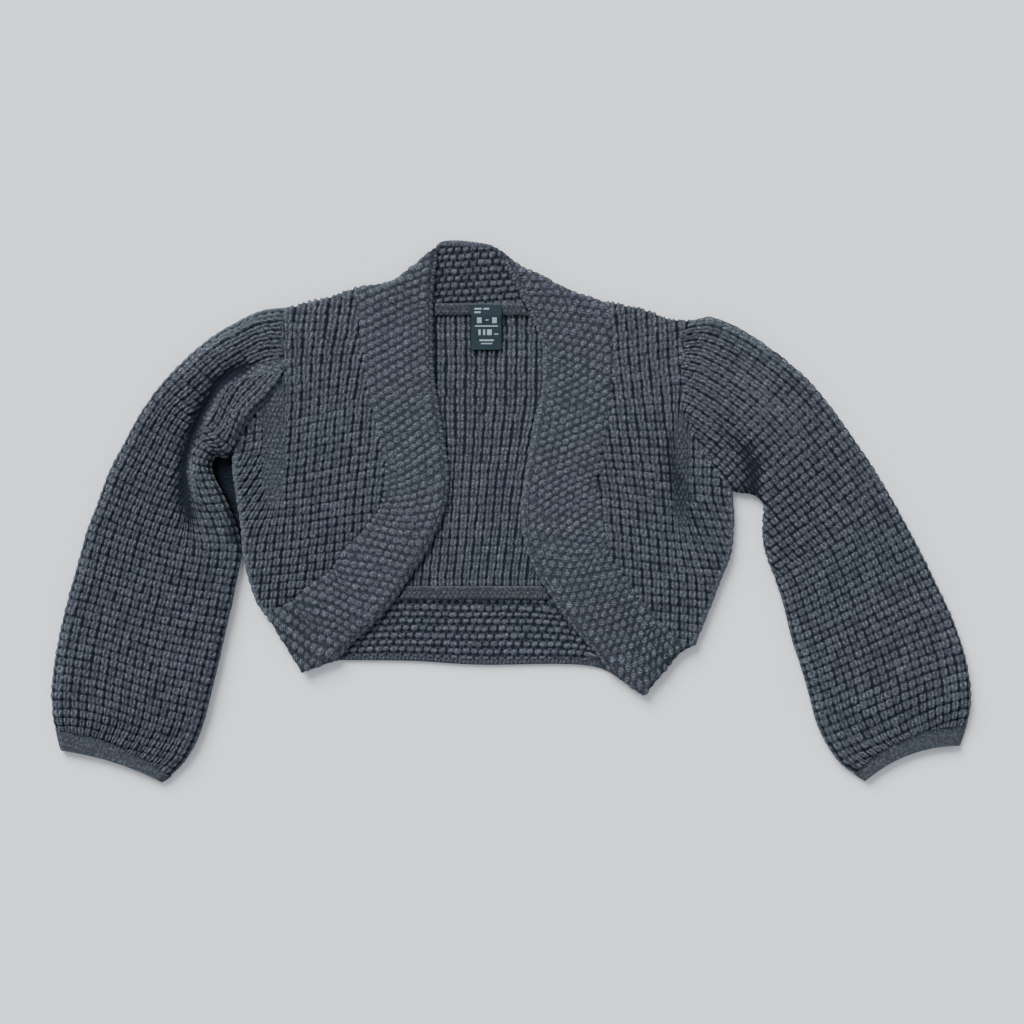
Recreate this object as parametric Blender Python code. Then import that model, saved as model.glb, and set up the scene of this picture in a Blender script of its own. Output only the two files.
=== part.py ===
"""A child's knitted shrug, laid flat on a table with its front up.

Sizes and places are in millimetres, and the meshes are written in metres. X runs across the
garment towards the wearer's left sleeve, Y towards the collar and Z up. Right and left are the
wearer's. The back, the collar behind the neck and the back hem band lie on the table. The fronts
and the front bands lie on them, and each sleeve is a flattened tube.
"""

import math

import bpy
import numpy as np
from mathutils.geometry import delaunay_2d_cdt

MM = 0.001
CENTRE = (-0.2, 0.18, 0.0)  # of the whole garment's box, as drawn; the origin goes there

# ---------------------------------------------------------------- knit and layers
GROOVE_WALL = 3.4  # chunky knit, measured in the groove between two ribs
RIB_RISE = 1.2  # a rib stands this far out of the groove
LOFT = GROOVE_WALL + RIB_RISE  # one layer of the body
BAND_LOFT = 5.0  # moss stitch is a little thicker
CUFF_WALL = 2.5  # fine plain knit
TAPE_LOFT = 1.4  # the seam allowances
LABEL_LOFT = 0.9
SEAM_GAP = 0.3  # between two pieces that are sewn together or lie on each other
UPPER = LOFT + SEAM_GAP  # underside of what lies on the back

WAFFLE_PITCH = 6.2  # one column of the fronts
BACK_RIB_PITCH = 5.3
SLEEVE_COLUMNS = 19  # across the upper half of each sleeve
RIB_SHOULDER = 0.3  # of the pitch, from the groove to the rib's top
FULL_RIB = 1.4  # squeezed closer than this between two points, a rib is lower
SEAM_RIB = 0.6  # share of the rise that is left where a seam pulls the ribs flat
RIB_ROW = 15.0  # between two points along a rib
RIB_END = 2.5  # a groove reaches its full depth this far from its end
RIB_MARGIN = {"seam": 2.6, "edge": 4.8}  # from the outline to a rib's end

OUTLINE_STEP = 7.0  # between two points of an outline
CLEAR = 0.35  # no two points of a face lie nearer than this

# ---------------------------------------------------------------- shared lines
# Each line is drawn once, and every piece that meets there follows it. Right-hand lines run
# down the garment and left-hand ones too, unless the name says otherwise.
LINES = {
    "shoulder_right": [(-102, 147.5), (-116.5, 142), (-133.5, 137.5), (-146, 134.5)],
    "neck_fold_right": [(-47, 177.5), (-55, 170.5), (-68.5, 159), (-81.5, 151), (-102, 147.5)],
    "band_seam_right": [
        (-102, 147.5), (-99.5, 119.5), (-95.5, 86.5), (-88, 53.5), (-83, 33.5), (-83, 16),
        (-87.5, -0.5), (-98, -13), (-110.5, -27), (-119, -39.5), (-130.5, -47.5),
        (-143.5, -58.5), (-161.5, -68.5),
    ],
    "underarm_right": [(-183.2, 37), (-183.2, 31), (-183, 24), (-180.5, 7.5), (-177.5, -12.5), (-177, -26)],
    "side_right": [(-177, -26), (-172.5, -45), (-167.5, -60), (-164.5, -64.5)],
    "side_low_right": [(-164.5, -64.5), (-161.5, -68.5)],
    "band_side_right": [(-161.5, -68.5), (-151.5, -85), (-144, -97), (-138, -107)],
    "band_hem_right": [(-138, -107), (-128.5, -103), (-116.5, -99), (-112, -95)],
    "free_edge_right": [
        (-112, -95), (-105.5, -88), (-90, -74), (-77.5, -60), (-66.5, -43.5), (-56.5, -28.5),
        (-48.5, -12), (-43, 3.5), (-41, 22.5), (-44, 48), (-48.5, 74.5), (-51, 94.5),
        (-51.5, 129.5), (-51, 146), (-49, 161.5), (-47, 177.5),
    ],
    "neck_top": [(-11.5, 175), (-17.5, 176.5), (-32.5, 178.5), (-42.5, 178.5), (-47, 177.5)],
    "shoulder_left": [(117, 126), (103.5, 126.5), (90, 132), (70.5, 136.5), (61.5, 138)],
    "neck_fold_left": [(61.5, 138), (47, 142.5), (31.5, 149), (21, 155), (6.5, 161.5), (-7, 172.5), (-11.5, 175)],
    "band_seam_left": [
        (61.5, 138), (66.5, 107), (65, 68), (61, 47), (57, 27), (56.5, 17), (60.5, -3.5),
        (64.5, -28.5), (74, -43.5), (86, -60), (97.5, -74), (111, -85), (120.5, -88.5),
    ],
    "side_left": [(145, 14.5), (146, 0.5), (146, -9), (144, -28.5), (137.5, -45), (131, -62.5), (126, -74.5)],
    "side_low_left": [(126, -74.5), (120.5, -88.5)],
    "band_side_left": [(120.5, -88.5), (110.5, -94.5), (101, -105.5), (94, -114), (87, -122.5)],
    "band_hem_left": [(87, -122.5), (74, -113), (63, -104.5)],
    "free_edge_left": [
        (63, -104.5), (54.5, -92.5), (45, -82.5), (34, -68.5), (24, -53.5), (15, -38.5),
        (8, -18.5), (6.5, 3.5), (10, 28.5), (15.5, 55), (20, 81), (21, 104.5), (13, 128),
        (9, 135.5), (4.5, 145), (-1.5, 157), (-5.5, 165.5), (-11.5, 175),
    ],
    "back_neck": [(-102, 147.5), (-77, 138), (-50, 133), (-17.5, 132.5), (14, 133), (38.5, 135.5), (61.5, 138)],
    "back_hem_seam": [(-164.5, -64.5), (-120, -58.5), (-85, -54), (-34, -53.5), (22, -54), (71.5, -62.5), (126, -74.5)],
    "back_hem": [
        (-138, -107), (-128.5, -103), (-116.5, -99), (-105.5, -98.5), (-65, -99), (-21, -101.5),
        (32, -101), (58, -103.5), (75, -113), (87, -122.5),
    ],
}

# ---------------------------------------------------------------- sleeves
# A row for each section, from the armhole to the cuff: its outer and inner ends, how far its
# middle bows towards the shoulder, its height, how many columns hide in the fold that crosses
# it, and where on the way from outer to inner that fold lies.
SECTION = ("outer_x", "outer_y", "inner_x", "inner_y", "bow", "loft", "hidden", "fold_at")
SLEEVE_RIGHT = [
    (-146.0, 134.5, -147.5, 92.5, -5.0, 9.6, 9.5, 0.90),
    (-164.5, 131.9, -152.0, 82.5, -4.0, 11.0, 8.5, 0.78),
    (-184.3, 122.5, -160.5, 72.0, -2.0, 12.0, 8.0, 0.60),
    (-202.7, 110.5, -172.5, 58.5, 0.0, 12.5, 7.5, 0.50),
    (-219.0, 95.5, -183.2, 37.0, 0.0, 12.6, 7.0, 0.54),
    (-233.2, 80.0, -193.0, 36.2, 0.0, 12.6, 7.0, 0.62),
    (-245.4, 62.3, -197.3, 30.2, 0.0, 12.6, 7.5, 0.68),
    (-255.8, 42.9, -195.8, 23.2, 0.0, 12.6, 7.0, 0.72),
    (-265.3, 24.6, -191.2, 13.6, 0.0, 12.6, 5.5, 0.73),
    (-272.4, 4.5, -186.5, 4.0, 0.0, 12.6, 3.5, 0.71),
    (-278.6, -11.0, -180.5, -10.5, 0.0, 12.4, 1.5, 0.69),
    (-283.6, -28.0, -177.5, -26.0, 0.0, 12.2, 0.0, 0.69),
    (-290.3, -52.0, -181.5, -50.0, 0.0, 12.2, 0.0, 0.5),
    (-295.5, -73.0, -186.3, -72.0, 0.0, 12.4, 0.0, 0.5),
    (-300.5, -98.0, -192.0, -97.0, 0.0, 12.6, 0.0, 0.5),
    (-302.7, -118.0, -197.3, -119.5, 1.0, 12.6, 0.0, 0.5),
    (-302.1, -132.0, -203.4, -142.5, 3.0, 12.0, 0.0, 0.5),
    (-301.6, -137.2, -210.0, -157.2, 4.5, 10.8, 0.0, 0.5),
    (-301.2, -140.0, -217.3, -167.7, 4.8, 9.6, 0.0, 0.5),
    (-300.2, -142.7, -224.1, -174.2, 5.0, 8.4, 0.0, 0.5),
]
SLEEVE_LEFT = [
    (117.0, 126.0, 145.0, 14.5, 17.0, 9.6, 0.0, 0.5),
    (132.7, 127.6, 151.2, 12.0, 14.0, 11.0, 0.0, 0.5),
    (149.5, 120.8, 157.5, 11.3, 10.0, 12.0, 0.0, 0.5),
    (168.0, 108.6, 163.5, 8.4, 6.0, 12.4, 0.0, 0.5),
    (186.8, 94.1, 167.0, 3.2, 3.0, 12.6, 0.0, 0.5),
    (200.6, 80.3, 166.4, -7.0, 1.0, 12.6, 0.0, 0.5),
    (213.8, 63.6, 165.8, -17.9, 0.0, 12.6, 0.0, 0.5),
    (226.0, 46.2, 167.2, -27.1, 0.0, 12.4, 0.0, 0.5),
    (238.4, 28.0, 170.6, -37.3, 0.0, 12.2, 0.0, 0.5),
    (250.2, 8.0, 174.0, -46.5, 0.0, 12.2, 0.0, 0.5),
    (261.2, -11.7, 177.8, -58.4, 0.0, 12.2, 0.0, 0.5),
    (271.6, -31.6, 181.0, -71.2, 0.0, 12.4, 0.0, 0.5),
    (281.2, -51.3, 184.3, -84.8, 0.0, 12.6, 0.0, 0.5),
    (289.8, -70.0, 188.4, -97.4, 0.0, 12.6, 0.0, 0.5),
    (296.5, -88.5, 192.4, -110.2, 0.0, 12.6, 0.0, 0.5),
    (300.8, -106.6, 196.0, -123.3, 1.0, 12.6, 0.0, 0.5),
    (302.3, -121.3, 200.6, -139.8, 3.0, 12.0, 0.0, 0.5),
    (302.0, -130.0, 207.6, -154.0, 6.0, 10.8, 0.0, 0.5),
    (300.9, -136.2, 216.2, -166.0, 7.0, 9.6, 0.0, 0.5),
    (299.6, -140.3, 225.7, -172.5, 8.0, 8.4, 0.0, 0.5),
]
CUFF_RIGHT = [
    (-300.2, -142.7, -224.1, -174.2, 5.0, 6.6, 0.0, 0.5),
    (-298.7, -150.3, -227.2, -176.6, 4.0, 6.2, 0.0, 0.5),
    (-296.6, -157.8, -230.3, -178.5, 3.0, 5.8, 0.0, 0.5),
]
CUFF_LEFT = [
    (299.6, -140.3, 225.7, -172.5, 8.0, 6.6, 0.0, 0.5),
    (297.3, -147.6, 229.3, -175.2, 7.0, 6.2, 0.0, 0.5),
    (295.0, -154.6, 233.0, -177.6, 6.0, 5.8, 0.0, 0.5),
]
PIT_ROWS = 5  # rows of the right sleeve that meet the front before the open underarm fold
UNDERARM_ROWS = 12  # rows of the right sleeve that meet the back

# A crease is a soft ridge or trough along a line, with a width and a height at each station.
CREASE = ("x", "y", "half_width", "height")
CREASES = {
    "sleeve_right": [
        [  # the trough that runs from the cap to the bend of the arm
            (-168, 104, 7, 0.0), (-183, 92, 8, -3.0), (-194, 80, 8, -3.6), (-203, 61, 7, -3.8),
            (-209.5, 47, 7, -3.8), (-213, 29, 7, -3.6), (-212, 12, 7, -2.4), (-209, -12, 9, 0.0),
        ],
        [  # the roll of cloth over the armhole and round the underarm
            (-152, 90, 6, 0.5), (-163, 77, 7, 2.6), (-178, 61, 7, 3.4), (-190, 49, 7, 3.4),
            (-202, 37, 7, 3.6), (-205, 26, 7, 3.2), (-200, 13, 8, 2.0), (-192, -2, 9, 0.0),
        ],
    ],
    "sleeve_left": [
        [  # the soft hollow above the arch of the underarm
            (150, 62, 12, 0.0), (158, 42, 13, -2.6), (161, 26, 12, -3.4), (160, 14, 9, -2.6),
        ],
        [  # the roll beside it
            (134, 66, 11, 0.0), (143, 44, 10, 0.9), (149, 25, 8, 1.0), (152, 15, 7, 0.6),
        ],
        [  # the fold that leaves the hollow for the elbow
            (166, 46, 10, 0.0), (178, 20, 10, 1.2), (184, -6, 11, 1.2), (189, -35, 13, 0.0),
        ],
    ],
}


# ---------------------------------------------------------------- plan geometry
def smooth_line(points, step):
    """Points an even step apart along a Catmull-Rom curve through the given ones."""
    points = np.asarray(points, float)
    if len(points) == 2:
        dense = points
    else:
        padded = np.vstack([2 * points[0] - points[1], points, 2 * points[-1] - points[-2]])
        dense = [points[0]]
        for a, b, c, d in zip(padded, padded[1:], padded[2:], padded[3:]):
            for t in np.linspace(0.1, 1.0, 10):
                curve = 2 * b + (c - a) * t + (2 * a - 5 * b + 4 * c - d) * t**2
                dense.append((curve + (3 * b - a - 3 * c + d) * t**3) / 2)
        dense = np.array(dense)
    along = np.concatenate([[0.0], np.cumsum(np.linalg.norm(np.diff(dense, axis=0), axis=1))])
    count = max(1, round(along[-1] / step))
    marks = np.linspace(0.0, along[-1], count + 1)
    return np.column_stack([np.interp(marks, along, dense[:, k]) for k in (0, 1)])


def line(name, reverse=False):
    points = smooth_line(LINES[name], OUTLINE_STEP)
    return points[::-1] if reverse else points


def row_values(row):
    return dict(zip(SECTION, row))


def section_line(rows, index, fractions):
    """Plan points at these fractions of the way from the outer to the inner end of a section."""
    row = row_values(rows[index])
    outer = np.array([row["outer_x"], row["outer_y"]])
    inner = np.array([row["inner_x"], row["inner_y"]])
    across = inner - outer
    upward = np.array([-across[1], across[0]]) / np.linalg.norm(across)
    first, last = (row_values(rows[k]) for k in (max(index - 1, 0), min(index + 1, len(rows) - 1)))
    down = [last[a] + last[b] - first[a] - first[b] for a, b in (("outer_x", "inner_x"), ("outer_y", "inner_y"))]
    if upward @ np.array(down) > 0:
        upward = -upward
    u = np.asarray(fractions, float)[:, None]
    return outer + across * u + row["bow"] * 4 * u * (1 - u) * upward, upward


def inner_ends(rows, count):
    """The inner ends of the first sections, the line that the body meets."""
    return np.array([(row_values(row)["inner_x"], row_values(row)["inner_y"]) for row in rows[:count]])


def armhole(rows):
    steps = round(np.linalg.norm(np.subtract(rows[0][0:2], rows[0][2:4])) / OUTLINE_STEP)
    return section_line(rows, 0, np.linspace(0, 1, steps + 1))[0]


def distance_to(points, start, end):
    """Distance of each point from the nearest of the segments from start to end."""
    points = np.asarray(points, float)[:, None]
    along = end - start
    t = ((points - start) * along).sum(-1) / np.maximum((along**2).sum(-1), 1e-12)
    nearest = start + np.clip(t, 0, 1)[..., None] * along
    return np.linalg.norm(points - nearest, axis=-1).min(axis=1)


def inside(points, ring):
    x, y = np.asarray(points, float).T[:, :, None]
    (x0, y0), (x1, y1) = ring.T, np.roll(ring, -1, axis=0).T
    crosses = (y0 > y) != (y1 > y)
    with np.errstate(divide="ignore", invalid="ignore"):
        hits = crosses & (x < (x1 - x0) * (y - y0) / (y1 - y0) + x0)
    return hits.sum(axis=1) % 2 == 1


def inset(ring, distances):
    """The ring with each of its sides moved inwards by that side's own distance."""
    along = np.roll(ring, -1, axis=0) - ring
    inward = np.column_stack([-along[:, 1], along[:, 0]]) / np.linalg.norm(along, axis=1)[:, None]
    moved = []
    for k, point in enumerate(ring):
        normals = np.array([inward[k - 1], inward[k]])
        wanted = np.array([distances[k - 1], distances[k]])
        if abs(np.linalg.det(normals)) < 0.08:
            mean = normals.mean(axis=0)
            moved.append(point + wanted.mean() * mean / np.linalg.norm(mean))
        else:
            moved.append(point + np.linalg.solve(normals, wanted))
    return np.array(moved)


def crease_height(points, creases):
    """How far the creases lift or lower the cloth at these plan points."""
    total = np.zeros(len(points))
    for crease in creases:
        stations = np.array(crease, float)
        place, shape = stations[:, :2], stations[:, 2:]
        best = np.full(len(points), np.inf)
        value = np.zeros(len(points))
        for k in range(len(stations) - 1):
            along = place[k + 1] - place[k]
            t = np.clip((points - place[k]) @ along / (along @ along), 0, 1)
            away = np.linalg.norm(points - place[k] - t[:, None] * along, axis=1)
            width, height = (shape[k] + t[:, None] * (shape[k + 1] - shape[k])).T
            nearer = away < best
            best = np.where(nearer, away, best)
            value = np.where(nearer, height * np.exp(-((away / width) ** 2)), value)
        total += value
    return total


# ---------------------------------------------------------------- solids
def knit_material(name, colour, roughness=0.95):
    material = bpy.data.materials.new(name)
    material.use_nodes = True
    shader = material.node_tree.nodes["Principled BSDF"]
    shader.inputs["Base Color"].default_value = (*colour, 1.0)
    shader.inputs["Roughness"].default_value = roughness
    shader.inputs["Metallic"].default_value = 0.0
    return material


def add_solid(name, points, faces, material):
    """One closed mesh, given in millimetres, as an object in metres."""
    mesh = bpy.data.meshes.new(name)
    mesh.from_pydata([tuple(MM * (a - b) for a, b in zip(point, CENTRE)) for point in points], [], faces)
    mesh.materials.append(material)
    mesh.update()
    mesh.shade_smooth()
    mesh.set_sharp_from_angle(angle=math.radians(50))
    piece = bpy.data.objects.new(name, mesh)
    bpy.context.scene.collection.objects.link(piece)
    return piece


def rounding(points, groups, rounds):
    """How far a face draws back from its full height near the edges of each kind."""
    drop = np.zeros(len(points))
    for kind, (start, end) in groups.items():
        reach, depth = rounds.get(kind, (0.0, 0.0))
        if reach:
            near = np.clip(1 - distance_to(points, start, end) / reach, 0, 1)
            drop = np.maximum(drop, depth * (1 - np.sqrt(1 - near**2)))
    return drop


def rib_runs(region, pitch):
    """Lines of plan points along the ribs inside a region: (points, is_groove) for each line."""
    runs = []
    ys = np.arange(region[:, 1].min(), region[:, 1].max(), 0.5)
    first_rib, last_rib = math.floor(region[:, 0].min() / pitch), math.ceil(region[:, 0].max() / pitch)
    for rib in range(first_rib, last_rib + 1):
        for offset in (-RIB_SHOULDER, 0.0, RIB_SHOULDER):
            x = (rib + offset) * pitch
            kept = inside(np.column_stack([np.full(len(ys), x), ys]), region).astype(int)
            marks = np.flatnonzero(np.diff([0, *kept, 0]))
            for low, high in zip(ys[marks[::2]], ys[marks[1::2] - 1]):
                if high - low < 3 * RIB_END:
                    continue
                count = max(2, math.ceil((high - low - 2 * RIB_END) / RIB_ROW) + 1)
                places = [low, *np.linspace(low + RIB_END, high - RIB_END, count), high]
                runs.append((np.column_stack([np.full(len(places), x), places]), offset == 0.0))
    return runs


def face_mesh(ring, rings, runs):
    """Triangles of one face of a panel: its ring, the rings inside it and its ribs."""
    start, end = ring, np.roll(ring, -1, axis=0)
    points, edges, grooves = [tuple(p) for p in ring], [], set()
    for inner, wanted in rings:
        good = inside(inner, ring)
        good[good] = distance_to(inner[good], start, end) > np.maximum(0.9 * wanted[good], CLEAR)
        slots = {}
        for k in np.flatnonzero(good):
            if np.linalg.norm(np.array(points) - inner[k], axis=1).min() > CLEAR:
                slots[k] = len(points)
                points.append(tuple(inner[k]))
        edges += [(slots[k], slots[k + 1]) for k in slots if k + 1 in slots]
    for run, is_groove in runs:
        first = len(points)
        points += [tuple(p) for p in run]
        edges += [(k, k + 1) for k in range(first, len(points) - 1)]
        if is_groove:
            grooves.update(range(first + 1, len(points) - 1))
    found = delaunay_2d_cdt(points, edges, [list(range(len(ring)))], 1, 1e-4)
    verts, triangles, origin = found[0], found[2], found[3]
    plan = np.array([tuple(v) for v in verts])
    border = {given: k for k, ids in enumerate(origin) for given in ids if given < len(ring)}
    sunk = np.array([any(given in grooves for given in ids) for ids in origin])
    return plan, triangles, [border[k] for k in range(len(ring))], sunk


def panel(name, edges, bottom, loft, material, above, below=None, ribs=None, pitch=None):
    """A laid piece of cloth. edges are (line, kind) anticlockwise; above and below say how far
    each kind of edge is rounded, as (reach, depth); ribs is the region that they fill, or "all"."""
    below = below or {}
    ring = np.vstack([points[:-1] for points, _ in edges])
    kinds = np.array([kind for points, kind in edges for _ in points[1:]])
    ends = np.roll(ring, -1, axis=0)
    groups = {kind: (ring[kinds == kind], ends[kinds == kind]) for kind in dict.fromkeys(kinds)}

    def moved_in(distances, share=1.0):
        return inset(ring, [share * distances.get(kind, 0.0) for kind in kinds])

    def rings(rounds):
        reach = {kind: value[0] for kind, value in rounds.items()}
        after = np.array([reach.get(kind, 0.0) for kind in kinds])
        least = np.minimum(after, np.roll(after, 1))
        return [(moved_in(reach, share), share * least) for share in (0.14, 0.5, 1.0)] if rounds else []

    cut = moved_in({"seam": SEAM_GAP / 2})
    region = moved_in(RIB_MARGIN) if isinstance(ribs, str) else ribs
    runs = [] if region is None else rib_runs(region, pitch)
    upper, upper_faces, upper_border, sunk = face_mesh(cut, rings(above), runs)
    lower, lower_faces, lower_border, _ = face_mesh(cut, rings(below), [])
    top = bottom + loft - rounding(upper, groups, above) - RIB_RISE * sunk
    base = bottom + rounding(lower, groups, below)
    points = [(*p, z) for p, z in zip(upper, top)] + [(*p, z) for p, z in zip(lower, base)]
    shift = len(upper)
    faces = [tuple(face) for face in upper_faces]
    faces += [tuple(shift + k for k in reversed(face)) for face in lower_faces]
    for k in range(len(cut)):
        a, b = upper_border[k], upper_border[(k + 1) % len(cut)]
        c, d = shift + lower_border[(k + 1) % len(cut)], shift + lower_border[k]
        faces += [(a, d, c), (a, c, b)]
    return add_solid(name, points, faces, material)


def zipper(first, first_at, second, second_at):
    """Triangles between two open chains of point numbers, each with its place along the way."""
    faces, i, j = [], 0, 0
    while i < len(first) - 1 or j < len(second) - 1:
        step_first = abs(first_at[i + 1] - second_at[j]) if i < len(first) - 1 else math.inf
        step_second = abs(second_at[j + 1] - first_at[i]) if j < len(second) - 1 else math.inf
        if step_first < step_second:
            faces.append((first[i], first[i + 1], second[j]))
            i += 1
        else:
            faces.append((first[i], second[j + 1], second[j]))
            j += 1
    return faces


UNDER_POINTS = 12  # across the plain underside of a tube
HOLLOW_POINTS = 12  # across the inner face of its upper wall
SLIT_MOST = 3.6  # the two walls lie this near each other at most
SLIT_LEAST = 0.4


def column_places(row, columns, marks):
    """Where each rib mark lies along the upper profile, from 0 to 1, with some in the fold."""
    u = np.linspace(0, 1, 400)
    fold = np.clip((u - row["fold_at"] + 0.09) / 0.18, 0, 1)
    fold = fold * fold * (3 - 2 * fold)
    fold = (fold - fold[0]) / (fold[-1] - fold[0])
    return np.interp(marks, (columns - row["hidden"]) * u + row["hidden"] * fold, u)


def tube_section(row, width, wall, columns, marks, groove):
    """Profiles of one section as (distance from the outer end, height): the outer face, from
    the outer end over the ribs and back along the plain underside, and the inner face. groove
    is the share of RIB_RISE that each mark lies below a rib's top."""
    loft = row["loft"]
    shoulder, middle = 0.62 * loft, 0.45 * loft
    turn = np.linspace(0, math.pi / 2, 9)
    rise = np.column_stack([shoulder * (1 - np.cos(turn)), middle + (loft - middle) * np.sin(turn)])
    profile = np.vstack([rise, (rise * (-1, 1) + (width, 0))[::-1]])
    arc = np.concatenate([[0.0], np.cumsum(np.linalg.norm(np.diff(profile, axis=0), axis=1))])
    places = column_places(row, columns, marks) * arc[-1]
    upper = np.column_stack([np.interp(places, arc, profile[:, k]) for k in (0, 1)])
    slope = np.gradient(upper, axis=0)
    slope /= np.linalg.norm(slope, axis=1)[:, None]
    depth = groove * np.clip(np.gradient(places) / FULL_RIB, 0, 1)
    upper += RIB_RISE * depth[:, None] * slope[:, ::-1] * (1, -1)
    turn = np.radians((30, 55, 90))
    round_below = np.column_stack([0.9 * middle * (1 - np.cos(turn)), middle * (1 - np.sin(turn))])
    flat = np.linspace(0.9 * middle, width - 0.9 * middle, UNDER_POINTS + 2)[1:-1]
    under = np.vstack([round_below, np.column_stack([flat, 0 * flat]), (round_below * (-1, 1) + (width, 0))[::-1]])
    hollow = np.linspace(wall, width - wall, HOLLOW_POINTS + 2)
    hollow = np.column_stack([hollow, np.interp(hollow, profile[:, 0], profile[:, 1]) - wall])
    floor = np.linspace(wall, width - wall, UNDER_POINTS)[1:-1]
    floor = np.column_stack([floor, np.full(len(floor), wall)])
    return (upper, under[::-1]), (hollow, floor[::-1])


def tube(name, rows, columns, wall, material, creases=()):
    """A flattened tube, open at both ends, with ribs on its upper half and a plain inside."""
    if columns:
        marks = [0.0] + [k + part for k in range(columns) for part in (RIB_SHOULDER, 1 - RIB_SHOULDER, 1.0)]
        groove = np.array([0 < mark < columns and mark == round(mark) for mark in marks], float)
    else:
        columns, marks = 1, list(np.linspace(0, 1, 15))
        groove = np.zeros(len(marks))
    points, outer_rings, inner_rings, rims = [], [], [], []
    for index, values in enumerate(rows):
        row = row_values(values)
        width = math.hypot(row["inner_x"] - row["outer_x"], row["inner_y"] - row["outer_y"])
        shrink = {0: -SEAM_GAP / 2, len(rows) - 1: SEAM_GAP / 2}.get(index, 0.0)
        rings = []
        depth = groove * (SEAM_RIB if shrink else 1.0)
        for face, (over, back) in enumerate(tube_section(row, width, wall, columns, marks, depth)):
            across = np.vstack([over, back])
            share = (SEAM_GAP / 2 + across[:, 0] * (1 - SEAM_GAP / width)) / width
            plan, upward = section_line(rows, index, share)
            plan, height = plan + shrink * upward, across[:, 1]
            lift = crease_height(plan[: len(over)], creases)
            if face == 0:
                height[: len(over)] += lift * np.clip((over[:, 1] / row["loft"] - 0.3) / 0.5, 0, 1)
            else:
                height[: len(over)] = np.clip(over[:, 1] + lift, wall + SLIT_LEAST, wall + SLIT_MOST)
                height[[0, len(over) - 1]] = wall + SLIT_LEAST / 2
            rings.append(np.column_stack([plan, height]))
            if index in (0, len(rows) - 1):
                along = (across[:, 0] - face * wall) / (width - 2 * face * wall)
                rims.append([*along[: len(over)], *(2 - along[len(over):]), 2.0])
        outer_rings.append(list(range(len(points), len(points) + len(rings[0]))))
        points += [*rings[0]]
        inner_rings.append(list(range(len(points), len(points) + len(rings[1]))))
        points += [*rings[1]]
    faces = []
    for ring, following in zip(outer_rings, outer_rings[1:]):
        faces += [(ring[k - 1], ring[k], following[k], following[k - 1]) for k in range(len(ring))]
    for ring, following in zip(inner_rings, inner_rings[1:]):
        faces += [(ring[k], ring[k - 1], following[k - 1], following[k]) for k in range(len(ring))]
    for index, (outer_at, inner_at) in ((0, rims[:2]), (-1, rims[2:])):
        outer, inner = outer_rings[index], inner_rings[index]
        rim = zipper(outer + outer[:1], outer_at, inner + inner[:1], inner_at)
        faces += [face[::-1] if index == 0 else face for face in rim]
    across = np.subtract(rows[0][2:4], rows[0][0:2])
    down = np.subtract(rows[-1][0:2], rows[0][0:2])
    if across[0] * down[1] - across[1] * down[0] < 0:
        faces = [face[::-1] for face in faces]
    return add_solid(name, points, faces, material)


def strip(name, corners, bottom, loft, material):
    """A narrow flat tape through these plan corners, anticlockwise, with softened upper edges."""
    sides = list(zip(corners, corners[1:] + corners[:1]))
    edges = [(smooth_line([a, b], OUTLINE_STEP), "edge") for a, b in sides]
    return panel(name, edges, bottom, loft, material, above={"edge": (0.9, 0.5)})


def bent_label(name, material):
    """The woven label: its top lies on the seam allowance, its tail hangs down on the back."""
    path = [
        (LABEL["tail_y"], UPPER), (TAPE_LOW_Y - 6.0, UPPER),
        (TAPE_LOW_Y + 0.5, TAPE_TOP), (LABEL["top_y"], TAPE_TOP),
    ]
    low = [(y, z + SEAM_GAP) for y, z in path]
    outline = low + [(y, z + LABEL_LOFT) for y, z in reversed(low)]
    count = len(outline)
    points = [(LABEL["x"] + side * LABEL["width"] / 2, y, z) for side in (-1, 1) for y, z in outline]
    faces = [(k, (k + 1) % count, count + (k + 1) % count, count + k) for k in range(count)]
    for k in range(len(low) - 1):
        quad = (k, k + 1, count - 2 - k, count - 1 - k)
        faces += [quad[::-1], tuple(count + value for value in quad)]
    return add_solid(name, points, faces, material)


# ---------------------------------------------------------------- the garment
ABOVE_ONLY = {"edge": (4.0, 3.4), "seam": (2.0, 0.6)}
BAND_ABOVE = {"edge": (4.2, 3.8), "seam": (2.0, 0.6)}
BELOW_SIDE = {"edge": (3.0, 2.2), "hem": (2.2, 1.2)}
HEM_ABOVE = {"hem": (2.6, 1.8)}

TAPE_HIGH_Y, TAPE_LOW_Y = 136.5, 129.0
TAPE_TOP = UPPER + TAPE_LOFT
LABEL = {"x": -16.5, "width": 20.0, "top_y": 135.5, "tail_y": 106.0}


def window():
    """The ribbed part of the back, a little wider than what shows between the two bands."""
    high, low = TAPE_LOW_Y + 2.0, -51.5
    left = [(x + 3.0, y) for x, y in line("free_edge_left") if low < y < high - 4]
    right = [(x - 3.0, y) for x, y in line("free_edge_right") if low < y < high - 4]
    return np.array([(-76.0, low), (26.0, low), *left, (16.0, high), (-54.5, high), *right[::-1]])


def build_back(knit):
    edges = [
        (line("back_hem_seam"), "seam"),
        (line("side_left", reverse=True), "edge"),
        (armhole(SLEEVE_LEFT)[::-1], "seam"),
        (line("shoulder_left"), "edge"),
        (line("back_neck", reverse=True), "seam"),
        (line("shoulder_right"), "edge"),
        (armhole(SLEEVE_RIGHT), "seam"),
        (inner_ends(SLEEVE_RIGHT, UNDERARM_ROWS), "seam"),
        (np.array([inner_ends(SLEEVE_RIGHT, UNDERARM_ROWS)[-1], LINES["side_right"][0]]), "edge"),
        (line("side_right"), "edge"),
    ]
    return panel("back", edges, 0.0, LOFT, knit, above={}, below=BELOW_SIDE, ribs=window(), pitch=BACK_RIB_PITCH)


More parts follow.
